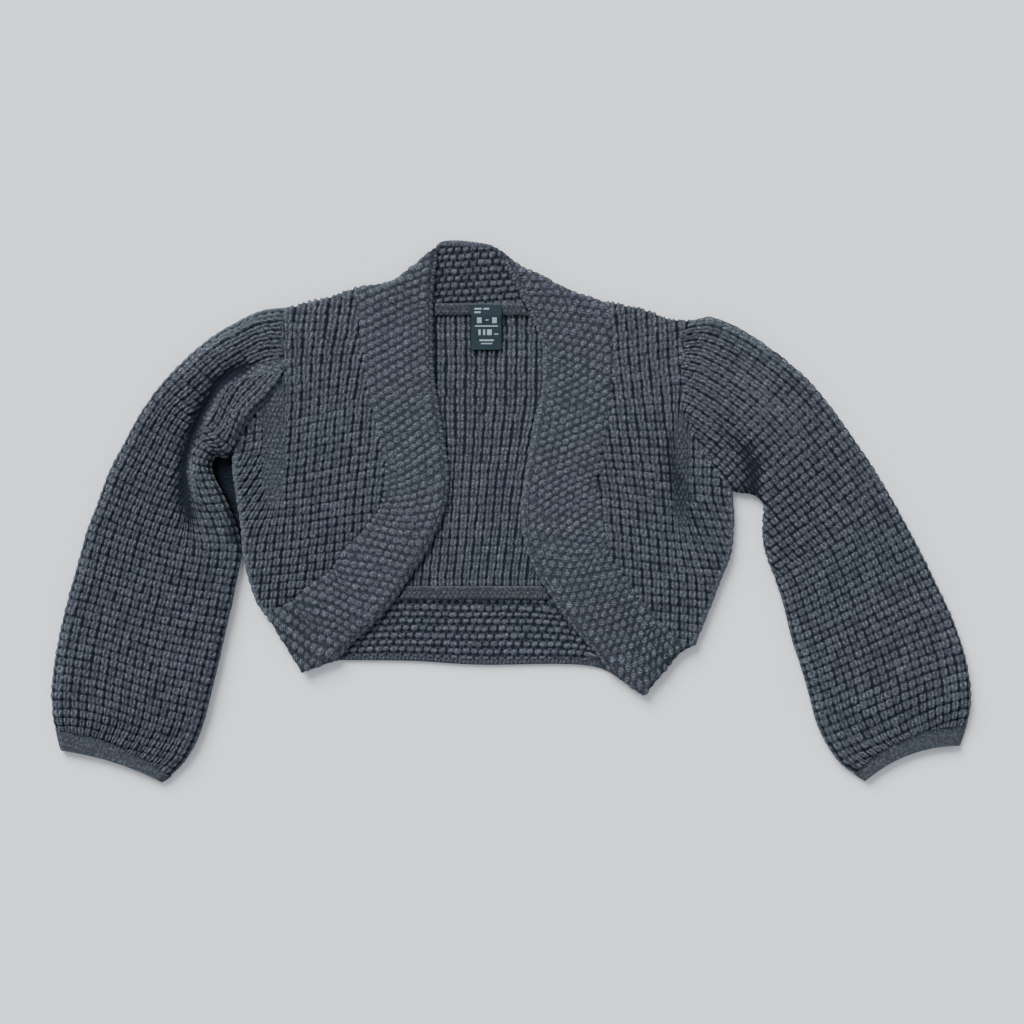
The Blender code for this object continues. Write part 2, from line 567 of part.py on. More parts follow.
def build_front_right(knit):
    edges = [
        (line("side_right"), "edge"),
        (line("side_low_right"), "edge"),
        (line("band_seam_right", reverse=True), "seam"),
        (line("shoulder_right"), "edge"),
        (armhole(SLEEVE_RIGHT), "seam"),
        (inner_ends(SLEEVE_RIGHT, PIT_ROWS), "seam"),
        (line("underarm_right"), "edge"),
    ]
    return panel("front_right", edges, UPPER, LOFT, knit, above=ABOVE_ONLY, ribs="all", pitch=WAFFLE_PITCH)


def build_front_left(knit):
    edges = [
        (line("band_seam_left"), "seam"),
        (line("side_low_left", reverse=True), "edge"),
        (line("side_left", reverse=True), "edge"),
        (armhole(SLEEVE_LEFT)[::-1], "seam"),
        (line("shoulder_left"), "edge"),
    ]
    return panel("front_left", edges, UPPER, LOFT, knit, above=ABOVE_ONLY, ribs="all", pitch=WAFFLE_PITCH)


def build_bands(moss):
    right = [
        (line("band_seam_right"), "seam"),
        (line("band_side_right"), "edge"),
        (line("band_hem_right"), "edge"),
        (line("free_edge_right"), "edge"),
        (line("neck_fold_right"), "edge"),
    ]
    left = [
        (line("free_edge_left", reverse=True), "edge"),
        (line("band_hem_left", reverse=True), "edge"),
        (line("band_side_left", reverse=True), "edge"),
        (line("band_seam_left", reverse=True), "seam"),
        (line("neck_fold_left"), "edge"),
    ]
    panel("band_right", right, UPPER, BAND_LOFT, moss, above=BAND_ABOVE)
    panel("band_left", left, UPPER, BAND_LOFT, moss, above=BAND_ABOVE)


def build_collar(moss):
    edges = [
        (line("back_neck"), "seam"),
        (line("neck_fold_left"), "edge"),
        (line("neck_top"), "hem"),
        (line("neck_fold_right"), "edge"),
    ]
    return panel("collar_back", edges, 0.0, LOFT, moss, above=HEM_ABOVE, below=BELOW_SIDE)


def build_hem_band(moss):
    edges = [
        (line("back_hem"), "hem"),
        (line("band_side_left", reverse=True), "edge"),
        (line("side_low_left", reverse=True), "edge"),
        (line("back_hem_seam", reverse=True), "seam"),
        (line("side_low_right"), "edge"),
        (line("band_side_right"), "edge"),
    ]
    return panel("hem_band_back", edges, 0.0, LOFT, moss, above=HEM_ABOVE, below=BELOW_SIDE)


def build_sleeves(waffle, plain):
    tube("sleeve_right", SLEEVE_RIGHT, SLEEVE_COLUMNS, GROOVE_WALL, waffle, CREASES["sleeve_right"])
    tube("sleeve_left", SLEEVE_LEFT, SLEEVE_COLUMNS, GROOVE_WALL, waffle, CREASES["sleeve_left"])
    tube("cuff_right", CUFF_RIGHT, None, CUFF_WALL, plain)
    tube("cuff_left", CUFF_LEFT, None, CUFF_WALL, plain)


def build_trims(plain, woven):
    strip("neck_seam", [(-50.3, TAPE_LOW_Y), (11.3, TAPE_LOW_Y), (7.6, TAPE_HIGH_Y), (-50.3, TAPE_HIGH_Y)], UPPER, TAPE_LOFT, plain)
    strip("hem_seam", [(-74.3, -58.0), (25.5, -58.0), (20.0, -49.5), (-69.0, -49.5)], UPPER, TAPE_LOFT, plain)
    bent_label("label", woven)


def main():
    for item in list(bpy.data.objects):
        bpy.data.objects.remove(item, do_unlink=True)
    waffle = knit_material("Waffle_Knit_Slate", (0.059, 0.072, 0.088))
    moss = knit_material("Moss_Knit_Slate", (0.060, 0.074, 0.090))
    plain = knit_material("Plain_Knit_Slate", (0.052, 0.060, 0.075))
    woven = knit_material("Label_Satin_Teal", (0.080, 0.107, 0.127), 0.6)
    build_back(waffle)
    build_front_right(waffle)
    build_front_left(waffle)
    build_sleeves(waffle, plain)
    build_bands(moss)
    build_collar(moss)
    build_hem_band(moss)
    build_trims(plain, woven)


main()
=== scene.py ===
"""The looks of a child's knitted shrug that lies flat with its front up.

Every piece is a thin shell of knitted cloth on the form of its solid, with each stitch raised
in the mesh. Places are drawn in millimetres, as a maker would plot them on the table, and the
meshes are written in metres. Right and left are the wearer's.
"""

import math

import bpy
import numpy as np
from bpy.props import FloatProperty, FloatVectorProperty, PointerProperty
from bpy.types import Operator, Panel, PropertyGroup
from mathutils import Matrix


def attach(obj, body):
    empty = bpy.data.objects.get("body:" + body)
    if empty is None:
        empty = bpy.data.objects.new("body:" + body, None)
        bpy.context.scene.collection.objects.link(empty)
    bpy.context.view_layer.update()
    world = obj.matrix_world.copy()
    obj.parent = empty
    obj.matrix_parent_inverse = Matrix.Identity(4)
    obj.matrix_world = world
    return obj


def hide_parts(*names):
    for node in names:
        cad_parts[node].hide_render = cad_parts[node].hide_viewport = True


bl_info = {
    "name": "Knitted shrug",
    "version": (1, 0, 0),
    "blender": (4, 5, 0),
    "location": "3D View > Sidebar > Shrug",
    "description": "Knits the panels, sleeves, bands and label of a shrug laid flat",
    "category": "Object",
}

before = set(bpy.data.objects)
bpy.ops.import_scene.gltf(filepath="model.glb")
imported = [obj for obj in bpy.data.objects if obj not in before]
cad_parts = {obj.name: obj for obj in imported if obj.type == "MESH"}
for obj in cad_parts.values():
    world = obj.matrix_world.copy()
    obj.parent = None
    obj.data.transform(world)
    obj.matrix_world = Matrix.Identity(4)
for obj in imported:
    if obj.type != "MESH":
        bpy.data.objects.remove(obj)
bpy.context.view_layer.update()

MM = 0.001
CENTRE = (-0.2, 0.18, 0.0)  # of the whole garment's box, as drawn; the origin goes there

# ---------------------------------------------------------------- layers, in millimetres
LOFT = 4.6  # one layer of the body
BAND_LOFT = 5.0
UPPER = 4.9  # underside of what lies on the back
CUFF_WALL = 2.5
SLEEVE_WALL = 3.4
TAPE_LOFT = 1.4
LABEL_LOFT = 0.9
SEAM_GAP = 0.3
SLEEVE_COLUMNS, SLEEVE_SECTIONS, SLEEVE_POINTS = 19, 396, 11  # points are across one column
CUFF_COLUMNS, CUFF_SECTIONS, CUFF_POINTS, CUFF_ROW = 34, 28, 7, 2.1
SLEEVE_GATHER = 0.5  # depth of the small pleats that run into the cuff

# ---------------------------------------------------------------- shared lines
LINES = {
    "shoulder_right": [(-102, 147.5), (-116.5, 142), (-133.5, 137.5), (-146, 134.5)],
    "neck_fold_right": [(-47, 177.5), (-55, 170.5), (-68.5, 159), (-81.5, 151), (-102, 147.5)],
    "band_seam_right": [
        (-102, 147.5), (-99.5, 119.5), (-95.5, 86.5), (-88, 53.5), (-83, 33.5), (-83, 16),
        (-87.5, -0.5), (-98, -13), (-110.5, -27), (-119, -39.5), (-130.5, -47.5),
        (-143.5, -58.5), (-161.5, -68.5),
    ],
    "underarm_right": [
        (-183.2, 37), (-183.2, 31), (-183, 24), (-180.5, 7.5), (-177.5, -12.5), (-177, -26),
    ],
    "side_right": [(-177, -26), (-172.5, -45), (-167.5, -60), (-164.5, -64.5)],
    "side_low_right": [(-164.5, -64.5), (-161.5, -68.5)],
    "band_side_right": [(-161.5, -68.5), (-151.5, -85), (-144, -97), (-138, -107)],
    "band_hem_right": [(-138, -107), (-128.5, -103), (-116.5, -99), (-112, -95)],
    "free_edge_right": [
        (-112, -95), (-105.5, -88), (-90, -74), (-77.5, -60), (-66.5, -43.5), (-56.5, -28.5),
        (-48.5, -12), (-43, 3.5), (-41, 22.5), (-44, 48), (-48.5, 74.5), (-51, 94.5),
        (-51.5, 129.5), (-51, 146), (-49, 161.5), (-47, 177.5),
    ],
    "neck_top": [(-11.5, 175), (-17.5, 176.5), (-32.5, 178.5), (-42.5, 178.5), (-47, 177.5)],
    "shoulder_left": [(117, 126), (103.5, 126.5), (90, 132), (70.5, 136.5), (61.5, 138)],
    "neck_fold_left": [
        (61.5, 138), (47, 142.5), (31.5, 149), (21, 155), (6.5, 161.5), (-7, 172.5), (-11.5, 175),
    ],
    "band_seam_left": [
        (61.5, 138), (66.5, 107), (65, 68), (61, 47), (57, 27), (56.5, 17), (60.5, -3.5),
        (64.5, -28.5), (74, -43.5), (86, -60), (97.5, -74), (111, -85), (120.5, -88.5),
    ],
    "side_left": [
        (145, 14.5), (146, 0.5), (146, -9), (144, -28.5), (137.5, -45), (131, -62.5), (126, -74.5),
    ],
    "side_low_left": [(126, -74.5), (120.5, -88.5)],
    "band_side_left": [(120.5, -88.5), (110.5, -94.5), (101, -105.5), (94, -114), (87, -122.5)],
    "band_hem_left": [(87, -122.5), (74, -113), (63, -104.5)],
    "free_edge_left": [
        (63, -104.5), (54.5, -92.5), (45, -82.5), (34, -68.5), (24, -53.5), (15, -38.5),
        (8, -18.5), (6.5, 3.5), (10, 28.5), (15.5, 55), (20, 81), (21, 104.5), (13, 128),
        (9, 135.5), (4.5, 145), (-1.5, 157), (-5.5, 165.5), (-11.5, 175),
    ],
    "back_neck": [
        (-102, 147.5), (-77, 138), (-50, 133), (-17.5, 132.5), (14, 133), (38.5, 135.5), (61.5, 138),
    ],
    "back_hem_seam": [
        (-164.5, -64.5), (-120, -58.5), (-85, -54), (-34, -53.5), (22, -54), (71.5, -62.5), (126, -74.5),
    ],
    "back_hem": [
        (-138, -107), (-128.5, -103), (-116.5, -99), (-105.5, -98.5), (-65, -99), (-21, -101.5),
        (32, -101), (58, -103.5), (75, -113), (87, -122.5),
    ],
}

# ---------------------------------------------------------------- sleeves
# A row for each section from the armhole to the cuff: its outer and inner ends, how far its
# middle bows towards the shoulder and its height. Where columns hide in a fold that crosses the
# sleeve, the row goes on with how many, and where on the way from outer to inner the fold lies.
NO_FOLD = (0.0, 0.5)


def sections(*rows):
    return [(*row, *NO_FOLD)[:8] for row in rows]


SLEEVE_RIGHT = sections(
    (-146.0, 134.5, -147.5, 92.5, -5.0, 9.6, 12.2, 0.90),
    (-164.5, 131.9, -152.0, 82.5, -4.0, 11.0, 9.9, 0.78),
    (-184.3, 122.5, -160.5, 72.0, -2.0, 12.0, 8.7, 0.60),
    (-202.7, 110.5, -172.5, 58.5, 0.0, 12.5, 8.0, 0.50),
    (-219.0, 95.5, -183.2, 37.0, 0.0, 12.6, 7.0, 0.54),
    (-233.2, 80.0, -193.0, 36.2, 0.0, 12.6, 7.0, 0.62),
    (-245.4, 62.3, -197.3, 30.2, 0.0, 12.6, 7.5, 0.68),
    (-255.8, 42.9, -195.8, 23.2, 0.0, 12.6, 7.0, 0.72),
    (-265.3, 24.6, -191.2, 13.6, 0.0, 12.6, 5.5, 0.73),
    (-272.4, 4.5, -186.5, 4.0, 0.0, 12.6, 3.5, 0.71),
    (-278.6, -11.0, -180.5, -10.5, 0.0, 12.4, 1.5, 0.69),
    (-283.6, -28.0, -177.5, -26.0, 0.0, 12.2, 0.0, 0.69),
    (-290.3, -52.0, -181.5, -50.0, 0.0, 12.2),
    (-295.5, -73.0, -186.3, -72.0, 0.0, 12.4),
    (-300.5, -98.0, -192.0, -97.0, 0.0, 12.6),
    (-302.7, -118.0, -197.3, -119.5, 1.0, 12.6),
    (-302.1, -132.0, -203.4, -142.5, 3.0, 12.0),
    (-301.6, -137.2, -210.0, -157.2, 4.5, 10.8),
    (-301.2, -140.0, -217.3, -167.7, 4.8, 9.6),
    (-300.2, -142.7, -224.1, -174.2, 5.0, 8.4),
)
SLEEVE_LEFT = sections(
    (117.0, 126.0, 145.0, 14.5, 17.0, 9.6),
    (132.7, 127.6, 151.2, 12.0, 14.0, 11.0),
    (149.5, 120.8, 157.5, 11.3, 10.0, 12.0),
    (168.0, 108.6, 163.5, 8.4, 6.0, 12.4),
    (186.8, 94.1, 167.0, 3.2, 3.0, 12.6),
    (200.6, 80.3, 166.4, -7.0, 1.0, 12.6),
    (213.8, 63.6, 165.8, -17.9, 0.0, 12.6),
    (226.0, 46.2, 167.2, -27.1, 0.0, 12.4),
    (238.4, 28.0, 170.6, -37.3, 0.0, 12.2),
    (250.2, 8.0, 174.0, -46.5, 0.0, 12.2),
    (261.2, -11.7, 177.8, -58.4, 0.0, 12.2),
    (271.6, -31.6, 181.0, -71.2, 0.0, 12.4),
    (281.2, -51.3, 184.3, -84.8, 0.0, 12.6),
    (289.8, -70.0, 188.4, -97.4, 0.0, 12.6),
    (296.5, -88.5, 192.4, -110.2, 0.0, 12.6),
    (300.8, -106.6, 196.0, -123.3, 1.0, 12.6),
    (302.3, -121.3, 200.6, -139.8, 3.0, 12.0),
    (302.0, -130.0, 207.6, -154.0, 6.0, 10.8),
    (300.9, -136.2, 216.2, -166.0, 7.0, 9.6),
    (299.6, -140.3, 225.7, -172.5, 8.0, 8.4),
)
CUFF_RIGHT = sections(
    (-300.2, -142.7, -224.1, -174.2, 5.0, 6.6),
    (-298.7, -150.3, -227.2, -176.6, 4.0, 6.2),
    (-296.6, -157.8, -230.3, -178.5, 3.0, 5.8),
)
CUFF_LEFT = sections(
    (299.6, -140.3, 225.7, -172.5, 8.0, 6.6),
    (297.3, -147.6, 229.3, -175.2, 7.0, 6.2),
    (295.0, -154.6, 233.0, -177.6, 6.0, 5.8),
)
# How the left sleeve's knitting runs on under its seam: the inner ends of its first sections, as
# if the sleeve were not cut.
UNCUT_ENDS = [
    (70.0, 36.0), (82.7, 40.0), (94.0, 37.0), (106.0, 30.0), (118.0, 20.0), (130.0, 8.0),
    (140.0, -4.0), (149.0, -15.0), (161.0, -31.0), (172.0, -45.0),
]
SLEEVE_LEFT_KNIT = [(*row[:2], *end, 0.0, 0.0, 0.0, 0.0) for row, end in zip(SLEEVE_LEFT, UNCUT_ENDS)]
PIT_ROWS = 5  # rows of the right sleeve that meet the front before the open underarm fold
UNDERARM_ROWS = 12  # rows of the right sleeve that meet the back

# A crease is a soft ridge or trough along a line: x, y, half width and height at each station.
CREASES = {
    "sleeve_right": [
        [
            (-162, 98, 5, 0.0), (-172, 95, 6, -2.2), (-182, 91, 6.5, -4.0), (-192, 84, 6, -5.0),
            (-203, 65, 5.5, -5.8), (-209.5, 50, 5.5, -5.8), (-214, 32, 6, -5.4), (-214, 12, 6.5, -4.4),
            (-211, -6, 7, -2.4), (-208, -22, 9, 0.0),
        ],
        [
            (-152, 90, 6, 0.5), (-163, 77, 7, 2.6), (-178, 61, 7, 3.4), (-190, 49, 7, 3.4),
            (-202, 37, 7, 3.6), (-205, 26, 7, 3.2), (-200, 13, 8, 2.0), (-192, -2, 9, 0.0),
        ],
        [
            (-152, 127, 8, 0.0), (-174, 118, 9, 1.2), (-197, 105, 9, 1.2), (-216, 88, 9, 1.0),
            (-238, 62, 9, 0.0),
        ],
    ],
    "sleeve_left": [
        [(138, 56, 9, -0.6), (151, 43, 10, -2.6), (159, 31, 11, -3.8), (160, 14, 9, -3.6)],
        [(138, 96, 9, 0.0), (152, 84, 10, 1.0), (172, 67, 10, 1.4), (190, 49, 10, 1.0), (202, 32, 10, 0.0)],
        [(124, 77, 7, 0.0), (150, 58, 7, 1.0), (166, 45, 7, 1.4), (171, 27, 7, 1.0), (171, 9, 8, 0.4)],
        [(166, 46, 10, 0.0), (178, 20, 10, 1.2), (184, -6, 11, 1.2), (189, -35, 13, 0.0)],
    ],
    "front_right": [
        [(-160, 52, 9, 0.0), (-163, 30, 9, -0.9), (-158, 8, 9, -0.8), (-150, -15, 10, 0.0)],
    ],
    "front_left": [
        [(100, 62, 7, 0.0), (105, 34, 7, -1.5), (111, 8, 8, -1.7), (121, -14, 9, 0.0)],
        [(121, 58, 7, 0.0), (126, 38, 7, 0.8), (133, 20, 7, 0.8), (138, -2, 8, 0.0)],
    ],
}

# Painted shade and painted light, where the cloth lies deeper in shade, or in fuller light, than its
# form alone gives it: each line adds to the depth that the painted shade follows, darker where
# positive and lighter where negative. The right sleeve's outer cap and ridge and the left sleeve's
# ridge are painted lighter. The right sleeve's troughs and underarm fold and a fold of the left front
# are painted darker, and a ring round the neck label is a painted shadow. The bands are painted
# darker towards their lower ends.
PAINTED_SHADE_AND_LIGHT = {
    "sleeve_right": [
        [
            (-150, 130, 7, -0.06), (-172, 121, 9, -0.16), (-195, 109, 9, -0.16), (-214, 92, 8, -0.14),
            (-234, 68, 8, 0.0),
        ],
        [(-150, 92, 4, -0.10), (-160, 80, 5, -0.26), (-172, 64, 5, -0.26), (-182, 45, 4, -0.10)],
        [
            (-163, 96, 4, 0.0), (-172, 94, 4.5, 0.30), (-181, 91, 5, 0.34), (-190, 86, 5, 0.16),
            (-198, 78, 5, 0.0),
        ],
        [(-213, 26, 7, 0.0), (-214, 12, 8, 0.16), (-212, 0, 8, 0.20), (-209, -14, 8, 0.0)],
        [(-186, 8, 3, 0.1), (-183.5, -6, 3.5, 0.34), (-181.5, -16, 3.5, 0.4), (-180, -27, 3, 0.1)],
    ],
    "sleeve_left": [
        [
            (138, 96, 9, 0.0), (152, 84, 10, -0.12), (172, 67, 10, -0.16), (190, 49, 10, -0.12),
            (202, 32, 10, 0.0),
        ],
    ],
    "front_left": [
        [(100, 64, 6, 0.0), (103, 45, 7, 0.14), (108, 22, 8, 0.24), (114, 2, 8, 0.18), (122, -18, 8, 0.0)],
    ],
    "band_right": [[(-152, -80, 24, 0.12), (-120, -66, 24, 0.08), (-92, -40, 20, 0.0)]],
    "band_left": [[(98, -96, 24, 0.12), (72, -70, 24, 0.08), (42, -30, 20, 0.0)]],
    "back": [[(-24.5, 130, 4, 0.2), (-24.5, 106, 4, 0.2), (-9, 106, 4, 0.2), (-8.5, 130, 4, 0.2)]],
}

# Where the waffle columns of a front run: y, x of its middle column, pitch, slope of its rows.
FRONT_RIGHT_KNIT = [
    (-58.7, -136.3, 5.8, 0.10), (-19.1, -133.0, 5.7, 0.13), (7.3, -131.0, 5.6, 0.13),
    (33.7, -128.4, 5.7, 0.19), (73.3, -126.4, 5.8, 0.19), (96.4, -124.7, 6.4, 0.08),
    (119.5, -121.8, 7.1, 0.0), (139.3, -119.8, 7.3, -0.03),
]
FRONT_LEFT_KNIT = [
    (-58.7, 92.7, 5.95, -0.08), (-32.3, 91.4, 5.8, -0.12), (7.3, 88.4, 5.7, -0.12),
    (53.5, 82.8, 6.3, 0.0), (99.7, 77.6, 6.5, 0.17), (132.7, 74.9, 6.6, 0.2),
]
BACK_KNIT = [
    (-45.5, -27.4, 5.3, 0.0), (7.3, -22.1, 5.5, 0.0), (40.3, -18.8, 5.9, 0.0),
    (73.3, -16.8, 6.6, 0.0), (112.9, -16.8, 6.7, 0.0),
]
# How a front's columns fan out to its armhole: most shift, y range, x range, y range of its end.
FAN_RIGHT = (28.0, -22.0, 50.0, -147.0, -165.0, 120.0, 160.0)
FAN_LEFT = (-14.0, -50.0, 20.0, 103.0, 120.0, 48.0, 88.0)

ROW = 5.4  # one waffle stitch along its column
COLUMN = 5.9  # one waffle column of a front or sleeve
BACK_COLUMN = 5.8
MOSS_STEP = 5.4  # one moss bump along its row
MOSS_ROW = 4.7
HEM_STEP, COLLAR_STEP = 5.3, 5.0  # one moss bump there


# ---------------------------------------------------------------- plan geometry
def catmull_rom(a, b, c, d, t):
    """The curve from b to c at share t, where a comes before b and d after c."""
    curve = 2 * b + (c - a) * t + (2 * a - 5 * b + 4 * c - d) * t**2
    return (curve + (3 * b - a - 3 * c + d) * t**3) / 2


def run_on(points):
    """The same points with one more at each end, straight on."""
    return np.vstack([2 * points[0] - points[1], points, 2 * points[-1] - points[-2]])


def dense_curve(points):
    """A Catmull-Rom curve through these points, as a close polyline."""
    points = np.asarray(points, float)
    if len(points) == 2:
        return points
    padded = run_on(points)
    dense = [points[0]]
    for a, b, c, d in zip(padded, padded[1:], padded[2:], padded[3:]):
        dense += [catmull_rom(a, b, c, d, t) for t in np.linspace(0.1, 1.0, 10)]
    return np.array(dense)


def lengths(points):
    return np.concatenate([[0.0], np.cumsum(np.linalg.norm(np.diff(points, axis=0), axis=1))])


def even(points, step):
    """The same polyline with its points an even step apart."""
    along = lengths(points)
    marks = np.linspace(0.0, along[-1], max(2, round(along[-1] / step) + 1))
    return np.column_stack([np.interp(marks, along, column) for column in np.transpose(points)])


def at_fractions(points, fractions):
    along = lengths(points)
    marks = fractions * along[-1]
    return np.column_stack([np.interp(marks, along, column) for column in np.transpose(points)])


def line(name, reverse=False):
    points = dense_curve(LINES[name])
    return points[::-1] if reverse else points


def bowed(outer, inner, bow, share):
    """Plan points at these shares of the way from outer to inner, with the middle moved by bow."""
    return outer + (inner - outer) * share + 4 * share * (1 - share) * bow


def upward_of(rows, index):
    across = np.subtract(rows[index][2:4], rows[index][0:2])
    upward = np.array([-across[1], across[0]]) / np.linalg.norm(across)
    first, last = rows[max(index - 1, 0)], rows[min(index + 1, len(rows) - 1)]
    down = np.add(last[0:2], last[2:4]) - np.add(first[0:2], first[2:4])
    return -upward if upward @ down > 0 else upward


def armhole(rows):
    """The sleeve's first section, from its outer end down to its inner end."""
    outer, inner, bow = np.array(rows[0][0:2]), np.array(rows[0][2:4]), rows[0][4]
    return bowed(outer, inner, upward_of(rows, 0) * bow, np.linspace(0, 1, 40)[:, None])


def inner_ends(rows, count):
    return np.array([row[2:4] for row in rows[:count]])


def beside(points, start, end):
    """How far along a straight stretch each plan point lies, from 0 to 1, and how far from it."""
    along = end - start
    t = np.clip((points - start) @ along / max(along @ along, 1e-9), 0, 1)
    return t, np.linalg.norm(points - start - t[:, None] * along, axis=1)


def distance_to(points, lines):
    """Distance of each plan point from the nearest of these polylines."""
    best = np.full(len(points), np.inf)
    for polyline in lines:
        for start, end in zip(polyline, polyline[1:]):
            best = np.minimum(best, beside(points, start, end)[1])
    return best


RUN_ON = 60  # a line is run on this far past its ends


def edge_place(points, polyline):
    """How far along a line, run on past both its ends, each plan point lies, and how far away."""
    ends = [polyline[0] - polyline[1], polyline[-1] - polyline[-2]]
    ends = [RUN_ON * end / np.linalg.norm(end) for end in ends]
    polyline = np.vstack([polyline[0] + ends[0], polyline, polyline[-1] + ends[1]])
    best, place = np.full(len(points), np.inf), np.zeros(len(points))
    for start, end, passed in zip(polyline, polyline[1:], lengths(polyline)):
        t, away = beside(points, start, end)
        place = np.where(away < best, passed + t * np.linalg.norm(end - start), place)
        best = np.minimum(best, away)
    return place, best


def inset(ring, distances):
    """The ring with each of its sides moved inwards by that side's own distance."""
    along = np.roll(ring, -1, axis=0) - ring
    inward = np.column_stack([-along[:, 1], along[:, 0]]) / np.linalg.norm(along, axis=1)[:, None]
    moved = []
    for k, point in enumerate(ring):
        normals = np.array([inward[k - 1], inward[k]])
        wanted = np.array([distances[k - 1], distances[k]])
        if abs(np.linalg.det(normals)) < 0.08:
            mean = normals.mean(axis=0)
            moved.append(point + wanted.mean() * mean / np.linalg.norm(mean))
        else:
            moved.append(point + np.linalg.solve(normals, wanted))
    return np.array(moved)


def crease_height(points, creases):
    """How far the creases lift or lower the cloth at these plan points."""
    total = np.zeros(len(points))
    for crease in creases:
        marks = np.array(crease, float)
        place, shape = marks[:, :2], marks[:, 2:]
        best = np.full(len(points), np.inf)
        value = np.zeros(len(points))
        for k in range(len(marks) - 1):
            t, away = beside(points, place[k], place[k + 1])
            width, height = (shape[k] + t[:, None] * (shape[k + 1] - shape[k])).T
            nearer = away < best
            best = np.where(nearer, away, best)
            value = np.where(nearer, height * np.exp(-((away / width) ** 2)), value)
        total += value
    return total


def smoothstep(x):
    x = np.clip(x, 0.0, 1.0)
    return x * x * (3 - 2 * x)


NEAR_EDGE = np.array([0.0, 0.15, 0.5, 1.0, 1.7, 2.5, 3.3])  # stations over a rounded edge


def stations(length, step, first_round, last_round, fine=(0.0, 1.0), coarse=None):
    """Fractions from 0 to 1 a step apart, closer over a rounded edge, wider outside fine."""
    inner = np.linspace(0.0, 1.0, max(3, round(length / step) + 1))
    if coarse:
        low, high = fine
        middle = np.linspace(low, high, round((high - low) * length / step) + 1)
        before = np.linspace(0.0, low, max(2, round(low * length / coarse) + 1))[:-1]
        after = np.linspace(high, 1.0, max(2, round((1 - high) * length / coarse) + 1))[1:]
        inner = np.concatenate([before, middle, after])
    marks = inner * length
    if first_round:
        marks = np.concatenate([NEAR_EDGE, marks[marks > NEAR_EDGE[-1] + 0.4 * step]])
    if last_round:
        kept = marks[marks < length - NEAR_EDGE[-1] - 0.4 * step]
        marks = np.concatenate([kept, length - NEAR_EDGE[::-1]])
    return marks / length


def patch(low, high, left, right, s, t):
    """A sheet of plan points between four border lines, across by s and upwards by t."""
    low, high = at_fractions(low, s)[:, None], at_fractions(high, s)[:, None]
    left, right = at_fractions(left, t)[None], at_fractions(right, t)[None]
    s, t = s[:, None, None], t[None, :, None]
    corners = (1 - s) * (1 - t) * low[:1] + s * (1 - t) * low[-1:]
    corners = corners + (1 - s) * t * high[:1] + s * t * high[-1:]
    return (1 - t) * low + t * high + (1 - s) * left + s * right - corners


# ---------------------------------------------------------------- stitches
def scatter(a, b, salt):
    """An even number from 0 to 1 for each stitch, the same on every run."""
    n = (a * 73856093) ^ (b * 19349663) ^ (salt * 83492791)
    n &= 0x7FFFFFFF
    n = ((n ^ (n >> 13)) * 1274126177) & 0x7FFFFFFF
    n = ((n ^ (n >> 15)) * 1103515245) & 0x7FFFFFFF
    return ((n >> 7) & 0xFFFF) / 0xFFFF


def wander(a, b, size, salt):
    """A slow unevenness, as hand tension gives, within plus and minus size."""
    total = 0.0
    for k in range(4):
        turn, phase = 2.4 * (k + 1) + salt, 1.7 * k * salt + salt
        total = total + np.sin((a * math.cos(turn) + b * math.sin(turn)) * (0.28 + 0.13 * k) + phase)
    return size * total / 2.5


def v_stitches(
    column, row, salt, legs=(0.16, 0.29), half=0.17, reach=0.55, block=(0.49, 0.54, 0.56, 0.70)
):
    """Relief of ribs made of V-shaped stitches, from 0 in a gap to 1, and how far along its
    strand each point lies. A gap runs at each whole column, and rows count down the rib. legs
    are a strand's places at the foot and head of a stitch, and block is the knob that they lie
    on: its half widths at foot and head, its half height and its relief."""
    column = column + wander(row, column * 0.6, 0.06, salt)
    row = row + wander(column, row * 0.5, 0.14, salt + 3)
    at_column, at_row = np.floor(column).astype(np.int64), np.floor(row).astype(np.int64)
    best, strand = np.zeros(column.shape), np.zeros(column.shape)
    foot, head, tall_half, share = block
    for i in (at_column - 1, at_column, at_column + 1):
        for j in (at_row - 1, at_row, at_row + 1):
            x = column - i - 0.5 - 0.13 * (scatter(i, j, salt) - 0.5)
            y = j + 0.5 - row + 0.11 * (scatter(i, j, salt + 1) - 0.5)
            x = x / (0.92 + 0.20 * scatter(i, j, salt + 4))
            y = y / (0.91 + 0.13 * scatter(i, j, salt + 5))
            tall = 1.0 - 0.34 * scatter(i, j, salt + 2)
            width = foot + (head - foot) * np.clip(y + 0.5, 0, 1)
            knob = np.clip(1 - np.abs(x / width) ** 2.7 - np.abs(y / tall_half) ** 2.7, 0, 1)
            cleft = 1 - 0.55 * np.exp(-((x / 0.12) ** 2)) * np.clip(0.9 - 2.0 * np.abs(y - 0.08), 0.25, 1)
            low = share * tall * cleft * np.sqrt(knob)
            nearer = low > best
            best = np.where(nearer, low, best)
            strand = np.where(nearer, y + np.sign(x) * 0.9 * x, strand)
            for side in (-1, 1):
                middle = legs[0] + (legs[1] - legs[0]) * (y + 0.5)
                leg = side * x - middle
                relief = tall * np.sqrt(np.clip(1 - (leg / half) ** 2 - (y / reach) ** 2, 0, 1))
                nearer = relief > best
                best = np.where(nearer, relief, best)
                strand = np.where(nearer, y + side * 0.35 * leg / half, strand)
    return best, strand


